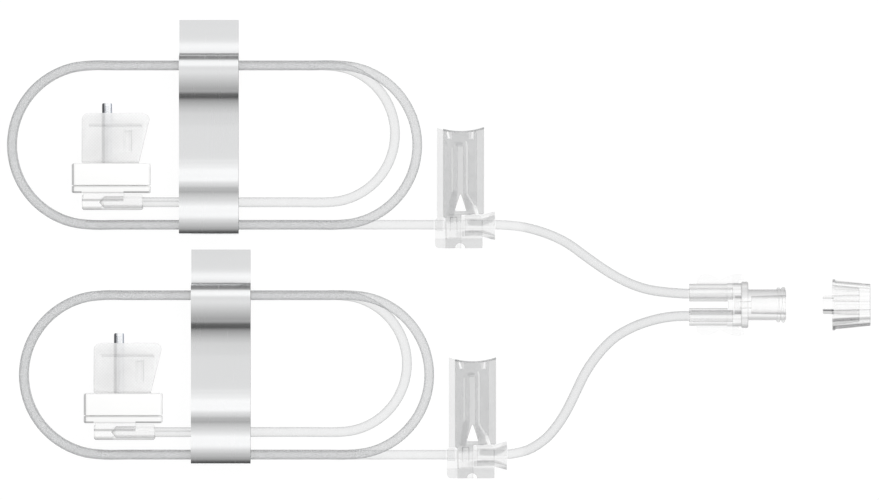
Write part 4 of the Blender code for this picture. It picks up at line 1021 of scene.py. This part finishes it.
@dataclass
class NeedleUnit:
    """The needle with its hub, white base, sheath and folded wings."""

    leg: Leg
    across: float = -23.37 * MM
    height: float = 4.5 * MM
    hub_along: float = -12.43 * MM
    base_corner: float = 1.0 * MM
    edge: float = 0.36 * MM
    groove: float = 0.3 * MM
    groove_depth: float = 0.6 * MM
    seam: float = 0.03 * MM
    plate_overlap: float = 0.3 * MM
    bore_clearance: float = 0.3 * MM
    needle_radius: float = 0.25 * MM
    needle_point: float = 0.9 * MM
    sheath_radius: float = 1.1 * MM
    sheath_wall: float = 0.55 * MM
    sheath_end: float = 0.6 * MM
    sheath_nose: float = 0.35 * MM
    hub_radius: float = 1.7 * MM
    socket_radius: float = 1.3 * MM
    socket_back: float = 1.7 * MM
    socket_cone: float = 1.1 * MM
    hub_edge: float = 0.3 * MM
    neck_width: float = 9.1 * MM
    neck_depth: float = 3.0 * MM
    barrel_edge: float = 0.1 * MM
    wing_edge: float = 0.07 * MM
    root_depth: float = 0.02 * MM
    underside: float = -0.7

    def rounded(self, low: Vector, high: Vector) -> Shape:
        """A block with rounded ends and eased edges."""
        bm = block_between(low, high)
        deep = (high.y - low.y) / 2
        ends = [e for e in bm.edges if abs(e.verts[0].co.y - e.verts[1].co.y) > deep]
        bevel(bm, ends, self.base_corner, 8)
        soften(bm, self.edge, 3, 50.0)
        return bm

    def base_finish(self, low: Vector, high: Vector) -> Material:
        """The base's white plastic, with painted shade along its edges and along the cover."""
        sketch = Sketch(Vector((low.x, low.y, high.z)))
        line = self.edge / MM + 0.04
        deep = (high.y - low.y) / MM
        # The marks paint shade along the top's left edge, its −Y and +Y edges and the joint with
        # the cover.
        return WhiteMoulding("white_moulding_" + self.leg.side, marks=(
            sketch.patch((None, None, -0.5), (line + 0.12, None, None), soft=0.2, add=0.62),
            sketch.patch((None, None, -0.5), (2.2, line, None), soft=0.1, add=0.6),
            sketch.patch((11.3, None, -0.5), (None, line, None), soft=0.1, add=0.66),
            sketch.patch((None, 1.2, -0.5), (None, 1.62, None), soft=0.2, add=0.22),
            sketch.patch((None, deep - 0.22, -0.5), (None, None, None), soft=0.2, add=0.2),
        )).make()

    def base(self) -> None:
        """The white block and its cover plate, with a groove along the joint between them."""
        side = self.leg.side
        low, cover_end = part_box("base_cover_" + side)
        block_start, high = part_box("base_block_" + side)
        white = self.base_finish(low, high)
        joint, groove = (cover_end.y + block_start.y) / 2, self.groove / 2
        past = Vector((MM, MM, MM))

        def up_to(along: float) -> Shape:
            """All that lies below a place along Y."""
            return block_between(low - past, (high.x + MM, along, high.z + MM))

        cover = combined(self.rounded(low, high), up_to(joint - groove), "INTERSECT")
        beyond = block_between((low.x - MM, joint + groove, low.z - MM), high + past)
        block = combined(self.rounded(low, high), beyond, "INTERSECT")
        inset = Vector((self.groove_depth / 2, 0, self.groove_depth))
        reach = groove + self.plate_overlap
        core = block_between(Vector((low.x, joint - reach, low.z)) + inset,
                             Vector((high.x, joint + reach, high.z)) - inset)
        block = combined(block, core, "UNION")
        block = combined(block, up_to(joint - groove + 0.01 * MM), "DIFFERENCE")
        radius = self.needle_radius + self.bore_clearance
        start, stop = (along - self.leg.middle.y for along in (low.y - MM, high.y + MM))
        for name, node, bm in (("block_cover_", "base_cover_", cover),
                               ("needle_block_", "base_block_", block)):
            bore = turned([(0, start), (radius, start), (radius, stop), (0, stop)], False,
                          Axis.ALONG_Y, self.leg.at(self.across, 0, self.height), 32)
            bm = combined(bm, bore, "DIFFERENCE")
            settle(finished(name + side, bm, white, 30.0), "root", Slot.WHITE, node + side)

    def hub_finish(self) -> Material:
        """The hub's clear plastic, with painted bands of shade along its barrel and neck."""
        sketch = Sketch(self.leg.at(self.across, self.hub_along, 0))
        return ClearFinish(
            "clear_hub_" + self.leg.side, face=(0.8, 0.8, 0.8), edge=(0.30, 0.30, 0.305),
            face_alpha=0.035, edge_alpha=0.6, falloff=2.4,
            # The marks with add paint shade in bands along the barrel and neck.
            marks=(
                sketch.patch((-5.6, -1.9, 4.5), (-1.2, -0.95, None), add=0.34, soft=0.5),
                sketch.patch((-1.2, -1.9, 4.5), (8.0, -0.6, None), add=0.12),
                sketch.stroke([(-5.6, -1.5), (8.0, -1.5)], 0.25, add=0.07),
                sketch.patch((-5.6, 0.2, 4.5), (-1.2, 0.72, None), add=0.5),
                sketch.patch((-1.2, 0.2, 4.5), (3.6, 0.72, None), add=0.24),
                sketch.patch((3.7, 0.4, None), (8.4, None, None), gain=0.3),
                sketch.patch((-0.8, 0.6, 4.5), (3.6, 1.3, None), add=0.07),
            ),
        ).make()

    def hub(self) -> None:
        """The clear barrel that takes the tube, and its neck against the cover."""
        side = self.leg.side
        low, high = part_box("tube_hub_" + side)
        axis_y = low.y + self.hub_radius
        length, edge, radius = high.x - low.x, self.hub_edge, self.hub_radius
        profile = [(0, 0), (radius - edge, 0), (radius, edge), (radius, length - edge),
                   (radius - edge, length), (0, length)]
        bm = turned(profile, False, Axis.ALONG_X, (low.x, axis_y, self.height))
        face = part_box("base_cover_" + side)[0].y - self.seam
        half = self.neck_depth / 2
        neck = block_between((low.x + edge, axis_y, self.height - half),
                             (low.x + self.neck_width, face, self.height + half))
        bm = combined(bm, neck, "UNION")
        seat = self.across + self.leg.middle.x - self.socket_back
        bore, deep = self.socket_radius, high.x - seat + self.socket_cone
        socket = turned([(0, 0), (bore, self.socket_cone), (bore, deep), (0, deep)], False,
                        Axis.ALONG_X, (seat, axis_y, self.height))
        bm = combined(bm, socket, "DIFFERENCE")
        soften(bm, self.barrel_edge, 2, 40.0)
        settle(finished("hub_barrel_" + side, bm, self.hub_finish()), "root", Slot.CLEAR,
               "tube_hub_" + side)

    def needle(self, palette: Palette) -> None:
        """The steel needle with its ground point."""
        side = self.leg.side
        low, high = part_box("needle_" + side)
        low.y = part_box("base_cover_" + side)[0].y + self.seam
        radius, length = self.needle_radius, high.y - low.y
        bm = turned(
            [(0, 0), (radius, 0), (radius, length - self.needle_point), (0, length)], False,
            Axis.ALONG_Y, (self.leg.middle.x + self.across, low.y, self.height), 32,
        )
        settle(finished("steel_needle_" + side, bm, palette.steel), "root", Slot.STEEL,
               "needle_" + side)

    def sheath(self) -> None:
        """The closed tube over the needle, its end rounded."""
        side = self.leg.side
        low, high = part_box("needle_sheath_" + side)
        low.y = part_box("base_block_" + side)[1].y + self.seam
        outer, nose, length = self.sheath_radius, self.sheath_nose, high.y - low.y
        bore = outer - self.sheath_wall
        axis_x = self.leg.middle.x + self.across
        profile = [
            (0, length), (outer - nose, length), (outer - nose * 0.5, length - nose * 0.13),
            (outer - nose * 0.13, length - nose * 0.5), (outer, length - nose), (outer, 0),
            (bore, 0), (bore, length - self.sheath_end), (0, length - self.sheath_end),
        ]
        bm = turned(profile, False, Axis.ALONG_Y, (axis_x, low.y, self.height))
        plastic = SheathFinish("sheath_plastic_" + side, axis_x).make()
        settle(finished("needle_cover_" + side, bm, plastic), "sheath_" + side,
               Slot.SHEATH, "needle_sheath_" + side)

    def wings(self) -> None:
        """The two frosted wings, folded shut over the sheath, thin on their undersides."""
        side = self.leg.side
        block_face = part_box("base_block_" + side)[1].y
        sketch = Sketch(self.leg.at(self.across, 0, 0))
        # Painted shade along the wing's moulded lines.
        marks = (
            sketch.stroke([(-3.9, 4.52), (7.4, 4.52)], 0.14, add=0.5, soft=0.14),
            sketch.stroke([(-3.9, 4.02), (7.4, 4.02)], 0.14, add=0.2, soft=0.14),
            *(
                sketch.stroke([(x, -1.3), (x, 3.7)], 0.16, add=0.12, soft=0.2)
                for x in (3.7, 4.1, 4.95, 5.35)
            ),
        )
        channel = sketch.patch((-1.15, None, None), (-0.4, None, None), soft=0.2, gain=0.85)
        skin = FrostedWing("frosted_wing_" + side, marks=marks, channel=channel).make()
        inner = FrostedWing("wing_underside_" + side, alpha=0.08).make()
        for which in ("front", "rear"):
            node = f"wing_{which}_{side}"
            bm = from_node(node)
            for vert in bm.verts:
                if vert.co.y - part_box(node)[0].y < self.root_depth:
                    vert.co.y = block_face + self.seam
            soften(bm, self.wing_edge, 2, 40.0)
            piece = finished(f"{which}_wing_{side}", bm, skin, mend=False)
            piece.data.materials.append(inner)
            for face in piece.data.polygons:
                face.material_index = int(face.normal.z < self.underside)
            settle(piece, node, Slot.WING, node)

    def build(self, palette: Palette) -> None:
        """Builds the whole unit."""
        self.base()
        self.hub()
        self.needle(palette)
        self.sheath()
        self.wings()


@dataclass
class PinchClamp:
    """The clear slide-on pinch clamp, one moulding with a living hinge."""

    leg: Leg
    edge: float = 0.14 * MM
    across: float = 53.48 * MM
    along: float = -17.33 * MM
    haze: Colour = (0.34, 0.345, 0.35)
    rim: Colour = (0.26, 0.265, 0.27)

    def rear_finish(self) -> Material:
        """The rear arm's clear plastic, denser in its foot and in the outlet's lips."""
        sketch = Sketch(self.leg.at(self.across, self.along, 0))
        return ClearFinish(
            "clear_clamp_rear_" + self.leg.side, face=self.haze, edge=self.rim,
            face_alpha=0.12, edge_alpha=0.5, falloff=2.4,
            marks=(
                sketch.patch((-3.3, None, 2.6), (4.8, -2.9, None), gain=2.6, soft=0.6),
                sketch.patch((0.6, -2.7, None), (None, 3.4, None), gain=0.4, soft=0.8),
                sketch.patch((-7, -3, None), (-2.6, 1.5, None), gain=0.4),
                sketch.patch((-2.9, -2.7, None), (0.4, 1.9, None), gain=0.3),
                sketch.stroke([(-0.5, -2.1), (2.8, -1.7), (5.0, -1.8), (7.0, -2.6)], 1.1,
                              add=0.2, soft=0.5),
                sketch.stroke([(2.2, 0.5), (4.6, 0.4), (6.4, 1.1), (7.2, 2.0)], 1.3,
                              add=0.22, soft=0.6),
                sketch.stroke([(-3.3, 0.5), (-3.1, -2.9)], 0.35, add=0.25),
            ),
        ).make()

    def front_finish(self) -> Material:
        """The front arm's clear plastic, thin over its strap and along its fork's lines."""
        sketch = Sketch(self.leg.at(self.across, self.along, 0))
        return ClearFinish(
            "clear_clamp_front_" + self.leg.side, face=self.haze, edge=self.rim,
            face_alpha=0.262, edge_alpha=0.62, falloff=2.4,
            marks=(
                sketch.patch((None, None, None), (0.4, 0.8, None), gain=0.25, soft=1.6),
                sketch.stroke([(-1.8, 16.6), (-1.8, 7.2)], 0.3, gain=0.55),
                sketch.stroke([(1.2, 18.0), (1.4, 17.1), (1.4, 6.7), (3.1, 3.9)], 0.34,
                              gain=0.35),
                sketch.stroke([(3.1, 3.9), (3.65, 2.2), (3.5, 0.3)], 0.7, gain=0.1),
                sketch.stroke([(-1.45, 6.9), (-2.0, 3.2), (-2.3, 0.6)], 1.2, add=0.05,
                              soft=0.6),
                sketch.stroke([(1.0, 6.3), (1.65, 3.65), (2.5, 1.6), (2.95, 0.5)], 1.3,
                              add=0.02, soft=0.6),
                sketch.stroke([(-0.6, 17.5), (0.1, 17.5)], 0.8, add=0.08, soft=0.6),
                sketch.stroke([(-5.2, 20.85), (-2.5, 20.42), (0, 20.32), (2.5, 20.45),
                               (5.0, 20.95)], 0.45, add=0.3),
                sketch.stroke([(-2.85, 20.0), (-2.5, 18.9)], 0.4, gain=0.1),
                sketch.stroke([(2.6, 20.0), (2.5, 18.9)], 0.35, gain=0.3),
            ),
        ).make()

    def build(self) -> None:
        """Rounds the mouldings' edges and dresses them."""
        side = self.leg.side
        for name, node, body, finish in (
            ("clamp_body_", "clamp_base_", "root", self.rear_finish()),
            ("clamp_arm_", "clamp_lever_", "lever_" + side, self.front_finish()),
        ):
            bm = from_node(node + side)
            soften(bm, self.edge, 2, 40.0)
            settle(finished(name + side, bm, finish, mend=False), body, Slot.CLEAR, node + side)


@dataclass
class BranchFitting:
    """The clear body that both tubes enter, and its tapered socket."""

    edge: float = 0.12 * MM
    collar_radius: float = 5.05 * MM
    collar_length: float = 1.5 * MM
    barrel_radius: float = 3.35 * MM
    length: float = 9.7 * MM
    spigot_radius: float = 1.7 * MM
    spigot_length: float = 1.1 * MM
    mouth_radius: float = 2.15 * MM
    taper_depth: float = 7.5 * MM
    flow_radius: float = 0.8 * MM
    lug_radius: float = 3.45 * MM
    lug_thickness: float = 0.9 * MM
    lug_rise: float = 1.1 * MM
    lug_turn: float = 170.0
    taper: float = 0.06
    body_length: float = 11.0 * MM
    slot_length: float = 8.3 * MM
    face_depth: float = 0.04 * MM
    seam: float = 0.02 * MM
    socket_edge: float = 0.2 * MM
    socket_ease: float = 0.08 * MM

    def plastic(self, name: str, marks: tuple[Mark, ...]) -> Material:
        """The fitting's clear plastic."""
        return ClearFinish(
            name, face=(0.7, 0.7, 0.7), edge=(0.24, 0.24, 0.245), face_alpha=0.02,
            edge_alpha=0.6, falloff=1.8, marks=marks,
        ).make()

    def body_finish(self, sketch: Sketch) -> Material:
        """The body's finish, with the bands of its bores and its slot's outline."""
        slot = self.slot_length / MM
        return self.plastic("clear_fitting_body", (
            sketch.streaks((
                (-4.7, 0.3), (-4.2, 0.75), (-3.8, 0.15), (-3.3, 0.25), (-3.1, 0.6),
                (-2.8, 0.15), (-2.4, 0.2), (-2.1, 1.0), (-1.35, 0.9), (-1.1, 0.2),
                (0.0, 0.0), (1.1, 0.15), (1.6, 0.95), (1.9, 0.65), (2.4, 0.5), (2.8, 0.1),
                (3.15, 0.2), (3.4, 0.6), (3.65, 0.3), (4.1, 0.55), (4.6, 1.0), (4.75, 0.4),
            ), add=0.13),
            sketch.stroke([(0, 0.88), (slot, 0.88), (slot, -0.83), (0, -0.83)], 0.28,
                          add=0.15),
            sketch.patch((9.3, None, None), (11.3, None, None), gain=1.5),
            sketch.patch((9.9, -2.3, None), (11.3, 2.3, None), gain=0.7),
            sketch.patch((None, 4.95, None), (None, None, None), gain=0.5),
            sketch.patch((None, None, None), (None, -4.95, None), gain=0.5),
        ))

    def socket_finish(self, sketch: Sketch) -> Material:
        """The socket's finish, with the bands of its bore."""
        return self.plastic("clear_socket", (
            sketch.streaks((
                (-5.0, 0.9), (-4.5, 0.8), (-4.0, 0.4), (-3.4, 0.5), (-2.9, 0.9), (-2.3, 0.25),
                (-1.8, 0.75), (-1.4, 0.3), (-0.8, 0.05), (0.0, 0.0), (1.2, 0.1), (1.8, 0.7),
                (2.3, 0.85), (3.0, 1.0), (3.5, 0.9), (4.0, 0.55), (4.6, 0.9), (5.05, 1.0),
            ), add=0.15),
            sketch.patch((None, None, None), (0.9, None, None), gain=0.2),
        ))

    def body(self) -> None:
        """The branch body, a refined copy of its solid, carried on to the collar."""
        low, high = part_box("branch_body")
        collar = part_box("taper_socket")[0].x + self.spigot_length
        bm = from_node("branch_body")
        for vert in bm.verts:
            if abs(vert.co.x - low.x - self.body_length) < self.face_depth:
                vert.co.x = collar - self.seam
        soften(bm, self.edge, 2, 40.0)
        sketch = Sketch(Vector((low.x, (low.y + high.y) / 2, 0)))
        settle(finished("fitting_body", bm, self.body_finish(sketch), mend=False), "root",
               Slot.CLEAR, "branch_body")

    def lug(self, centre: Vector, mouth: float, start: float) -> Shape:
        """One helical lug, swept along its own turn."""
        points = []
        for step in range(41):
            share = step / 40
            turn = math.radians(start + self.lug_turn * share)
            along = mouth - self.lug_thickness * 0.6 - self.lug_rise * (1 - share)
            points.append(centre + Vector((along, self.lug_radius * math.cos(turn),
                                           self.lug_radius * math.sin(turn))))
        return swept(points, self.lug_thickness / 2, 3)

    def socket(self) -> None:
        """The collar and tapered socket with two helical lugs round its mouth."""
        low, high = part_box("taper_socket")
        face, edge = self.spigot_length, self.socket_edge
        mouth = face + self.length
        deep = self.mouth_radius - self.taper_depth * self.taper / 2
        collar, inner = face + self.collar_length, mouth - self.taper_depth
        profile = [
            (self.mouth_radius, mouth), (self.barrel_radius - edge, mouth),
            (self.barrel_radius, mouth - edge), (self.barrel_radius, collar),
            (self.collar_radius - edge, collar), (self.collar_radius, collar - edge),
            (self.collar_radius, face + edge), (self.collar_radius - edge, face),
            (self.spigot_radius, face), (self.spigot_radius, 0), (self.flow_radius, 0),
            (self.flow_radius, inner), (deep, inner),
        ]
        centre = (low + high) / 2
        centre.x = low.x
        bm = turned(profile, True, Axis.ALONG_X, centre, 80)
        for start in (10.0, 190.0):
            bm = combined(bm, self.lug(centre, mouth, start), "UNION")
        soften(bm, self.socket_ease, 2, 48.0)
        plastic = self.socket_finish(Sketch(centre))
        settle(finished("socket_moulding", bm, plastic, mend=False), "root", Slot.CLEAR,
               "taper_socket")

    def build(self) -> None:
        """Builds the fitting."""
        self.body()
        self.socket()


@dataclass
class EndCap:
    """The ribbed cap, lying taken off in line with the socket."""

    edge: float = 0.06 * MM
    plug_reach: float = 2.1 * MM

    def finish(self, sketch: Sketch) -> Material:
        """Clear plastic with painted shade in bands where the ribbed skirt and the plug bend the
        light, heaviest on the −Y side.
        """
        return ClearFinish(
            "clear_cap", face=(0.7, 0.7, 0.7), edge=(0.12, 0.12, 0.125), face_alpha=0.008,
            edge_alpha=0.6, falloff=2.4,
            marks=(
                sketch.streaks((
                    (-5.6, 0.3), (-5.2, 0.8), (-4.95, 0.85), (-4.7, 1.0), (-4.45, 0.9),
                    (-4.22, 0.0), (-3.95, 0.1), (-3.6, 1.0), (-3.15, 0.9), (-2.75, 0.05),
                    (-2.0, 0.15), (-1.4, 0.35), (-1.2, 0.8), (-1.0, 0.03), (0.55, 0.02),
                    (0.85, 0.45), (1.1, 0.03), (3.2, 0.06), (3.6, 0.15), (4.5, 0.08),
                    (4.78, 0.1), (5.0, 0.95), (5.25, 0.15), (5.5, 0.25),
                ), add=0.22, taper=0.0187),
                sketch.patch((None, -2.3, None), (0, 2.5, None), gain=0.4, soft=0.2),
                # Painted shade along the plug, heaviest towards −Y.
                sketch.stroke([(-2.0, 1.45), (-0.1, 1.45)], 0.4, add=0.35),
                sketch.stroke([(-2.0, -1.2), (-0.1, -1.2)], 0.5, add=1.3),
                sketch.stroke([(-2.0, -1.8), (-0.1, -1.8)], 0.5, add=0.5),
                sketch.stroke([(0.3, 5.2), (0.3, 5.5)], 0.5, add=0.3),
                sketch.stroke([(0.3, -4.9), (0.3, -5.5)], 0.6, add=0.4),
            ),
        ).make()

    def build(self) -> None:
        """Eases the cap's edges and dresses it."""
        low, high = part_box("end_cap")
        bm = from_node("end_cap")
        soften(bm, self.edge, 2, 40.0)
        sketch = Sketch(Vector((low.x + self.plug_reach, (low.y + high.y) / 2, 0)))
        settle(finished("ribbed_cap", bm, self.finish(sketch), mend=False), "cap",
               Slot.CLEAR, "end_cap")


@dataclass
class Studio:
    """A white surface under soft light, seen from straight above through a long lens."""

    view_middle: Flat = (-6.86 * MM, -0.20 * MM)
    view_width: float = 191.1 * MM
    object_height: float = 5 * MM
    lens: float = 600.0
    sensor: float = 36.0
    floor_size: float = 6.0
    glow: float = 0.86
    glow_level: float = 1.1
    floor_gap: float = 0.02 * MM
    paper: Colour = (0.58, 0.58, 0.58)
    paper_shade: Colour = (0.55, 0.55, 0.55)
    dark_side: float = 0.065
    overhead: float = 0.84
    bright_side: float = 1.03
    horizon: float = 0.06

    def camera(self) -> None:
        """Sets the camera over the middle of the photo's frame."""
        data = bpy.data.cameras.new("camera")
        data.lens = self.lens
        data.sensor_width = self.sensor
        data.clip_start = 0.1
        data.clip_end = 20.0
        camera = linked("camera", data)
        reach = self.view_width * self.lens / self.sensor
        camera.location = (*self.view_middle, self.object_height + reach)
        bpy.context.scene.camera = camera

    def floor(self) -> None:
        """A white floor that shows as white and keeps a faint shadow."""
        bm = bmesh.new()
        bmesh.ops.create_grid(bm, x_segments=4, y_segments=4, size=self.floor_size / 2)
        bmesh.ops.translate(bm, vec=(0, 0, -self.floor_gap), verts=bm.verts)
        recipe = Recipe("floor_white")
        paper = recipe.blend(recipe.noise(900.0), self.paper, self.paper_shade)
        recipe.set(Base_Color=paper, Roughness=0.9)
        glow = recipe.add("ShaderNodeEmission", Color=(1.0, 1.0, 1.0),
                          Strength=self.glow_level)
        seen = recipe.rays("Is Camera Ray", "Is Glossy Ray", "Is Transmission Ray")
        share = recipe.sum_up("MULTIPLY", seen, self.glow)
        recipe.end_in(recipe.mix(share, recipe.shader.outputs[0], glow), "Material Output")
        finished("floor", bm, recipe.material)

    def sky(self) -> None:
        """A soft world: bright towards +X and +Y, darker opposite, white behind the object."""
        world = bpy.data.worlds.new("studio")
        bpy.context.scene.world = world
        nodes = Nodes(world)
        direction = nodes.add("ShaderNodeTexCoord", "Generated")
        mirrored = nodes.greys(nodes.part(direction, "Y"), [
            (-1.0, self.dark_side), (-0.72, self.dark_side), (-0.1, self.overhead - 0.06),
            (0.12, self.overhead + 0.04), (0.42, self.bright_side), (1.0, self.bright_side),
        ])
        height = nodes.greys(nodes.part(direction, "Z"), [
            (-1.0, 1.0), (-0.4, 1.0), (-0.1, self.horizon), (0.18, self.horizon),
            (0.5, 1.0), (1.0, 1.0),
        ])
        toward = nodes.vector("DOT_PRODUCT", direction, (0.6, 0.8, 0.0))
        soft = nodes.greys(toward, [(-1.0, 0.6), (-0.4, 0.75), (0.0, 0.98), (1.0, 1.24)])
        lit, shown, white = (
            nodes.add("ShaderNodeBackground", Color=colour)
            for colour in (soft, nodes.blend(1.0, mirrored, height, "MULTIPLY"), (1, 1, 1))
        )
        object_light = nodes.mix(nodes.rays("Is Glossy Ray"), lit, shown)
        behind = nodes.rays("Is Camera Ray", "Is Transmission Ray")
        nodes.end_in(nodes.mix(behind, object_light, white), "World Output")

    def lamp(self, name: str, place: Point, size: float, power: float) -> None:
        """A square soft lamp that looks at the object."""
        data = bpy.data.lights.new(name, "AREA")
        data.size = size
        data.energy = power
        lamp = linked(name, data)
        lamp.location = place
        lamp.rotation_mode = "QUATERNION"
        lamp.rotation_quaternion = (-Vector(place)).to_track_quat("-Z", "Y")
        lamp.visible_camera = False

    def build(self) -> None:
        """Builds the floor, world, lamps and view settings."""
        self.floor()
        self.sky()
        self.lamp("key_lamp", (0.55, 0.75, 1.1), 0.5, 3.4)
        self.lamp("fill_lamp", (-0.9, 0.3, 1.2), 0.8, 0.8)
        scene = bpy.context.scene
        scene.view_settings.view_transform = "Standard"
        scene.cycles.transparent_max_bounces = 64


def main() -> None:
    """Builds the set in order, with the camera and the cords first."""
    logging.basicConfig(level=logging.INFO, format="%(name)s: %(message)s")
    studio = Studio()
    studio.camera()
    palette = Palette()
    legs = [Leg("a"), Leg("b")]
    for leg in legs:
        Tubing(leg, legs[0]).build()
    for leg in legs:
        StorageBand(leg).build(palette)
        NeedleUnit(leg).build(palette)
        PinchClamp(leg).build()
    BranchFitting().build()
    EndCap().build()
    studio.build()


if __name__ == "__main__":
    main()
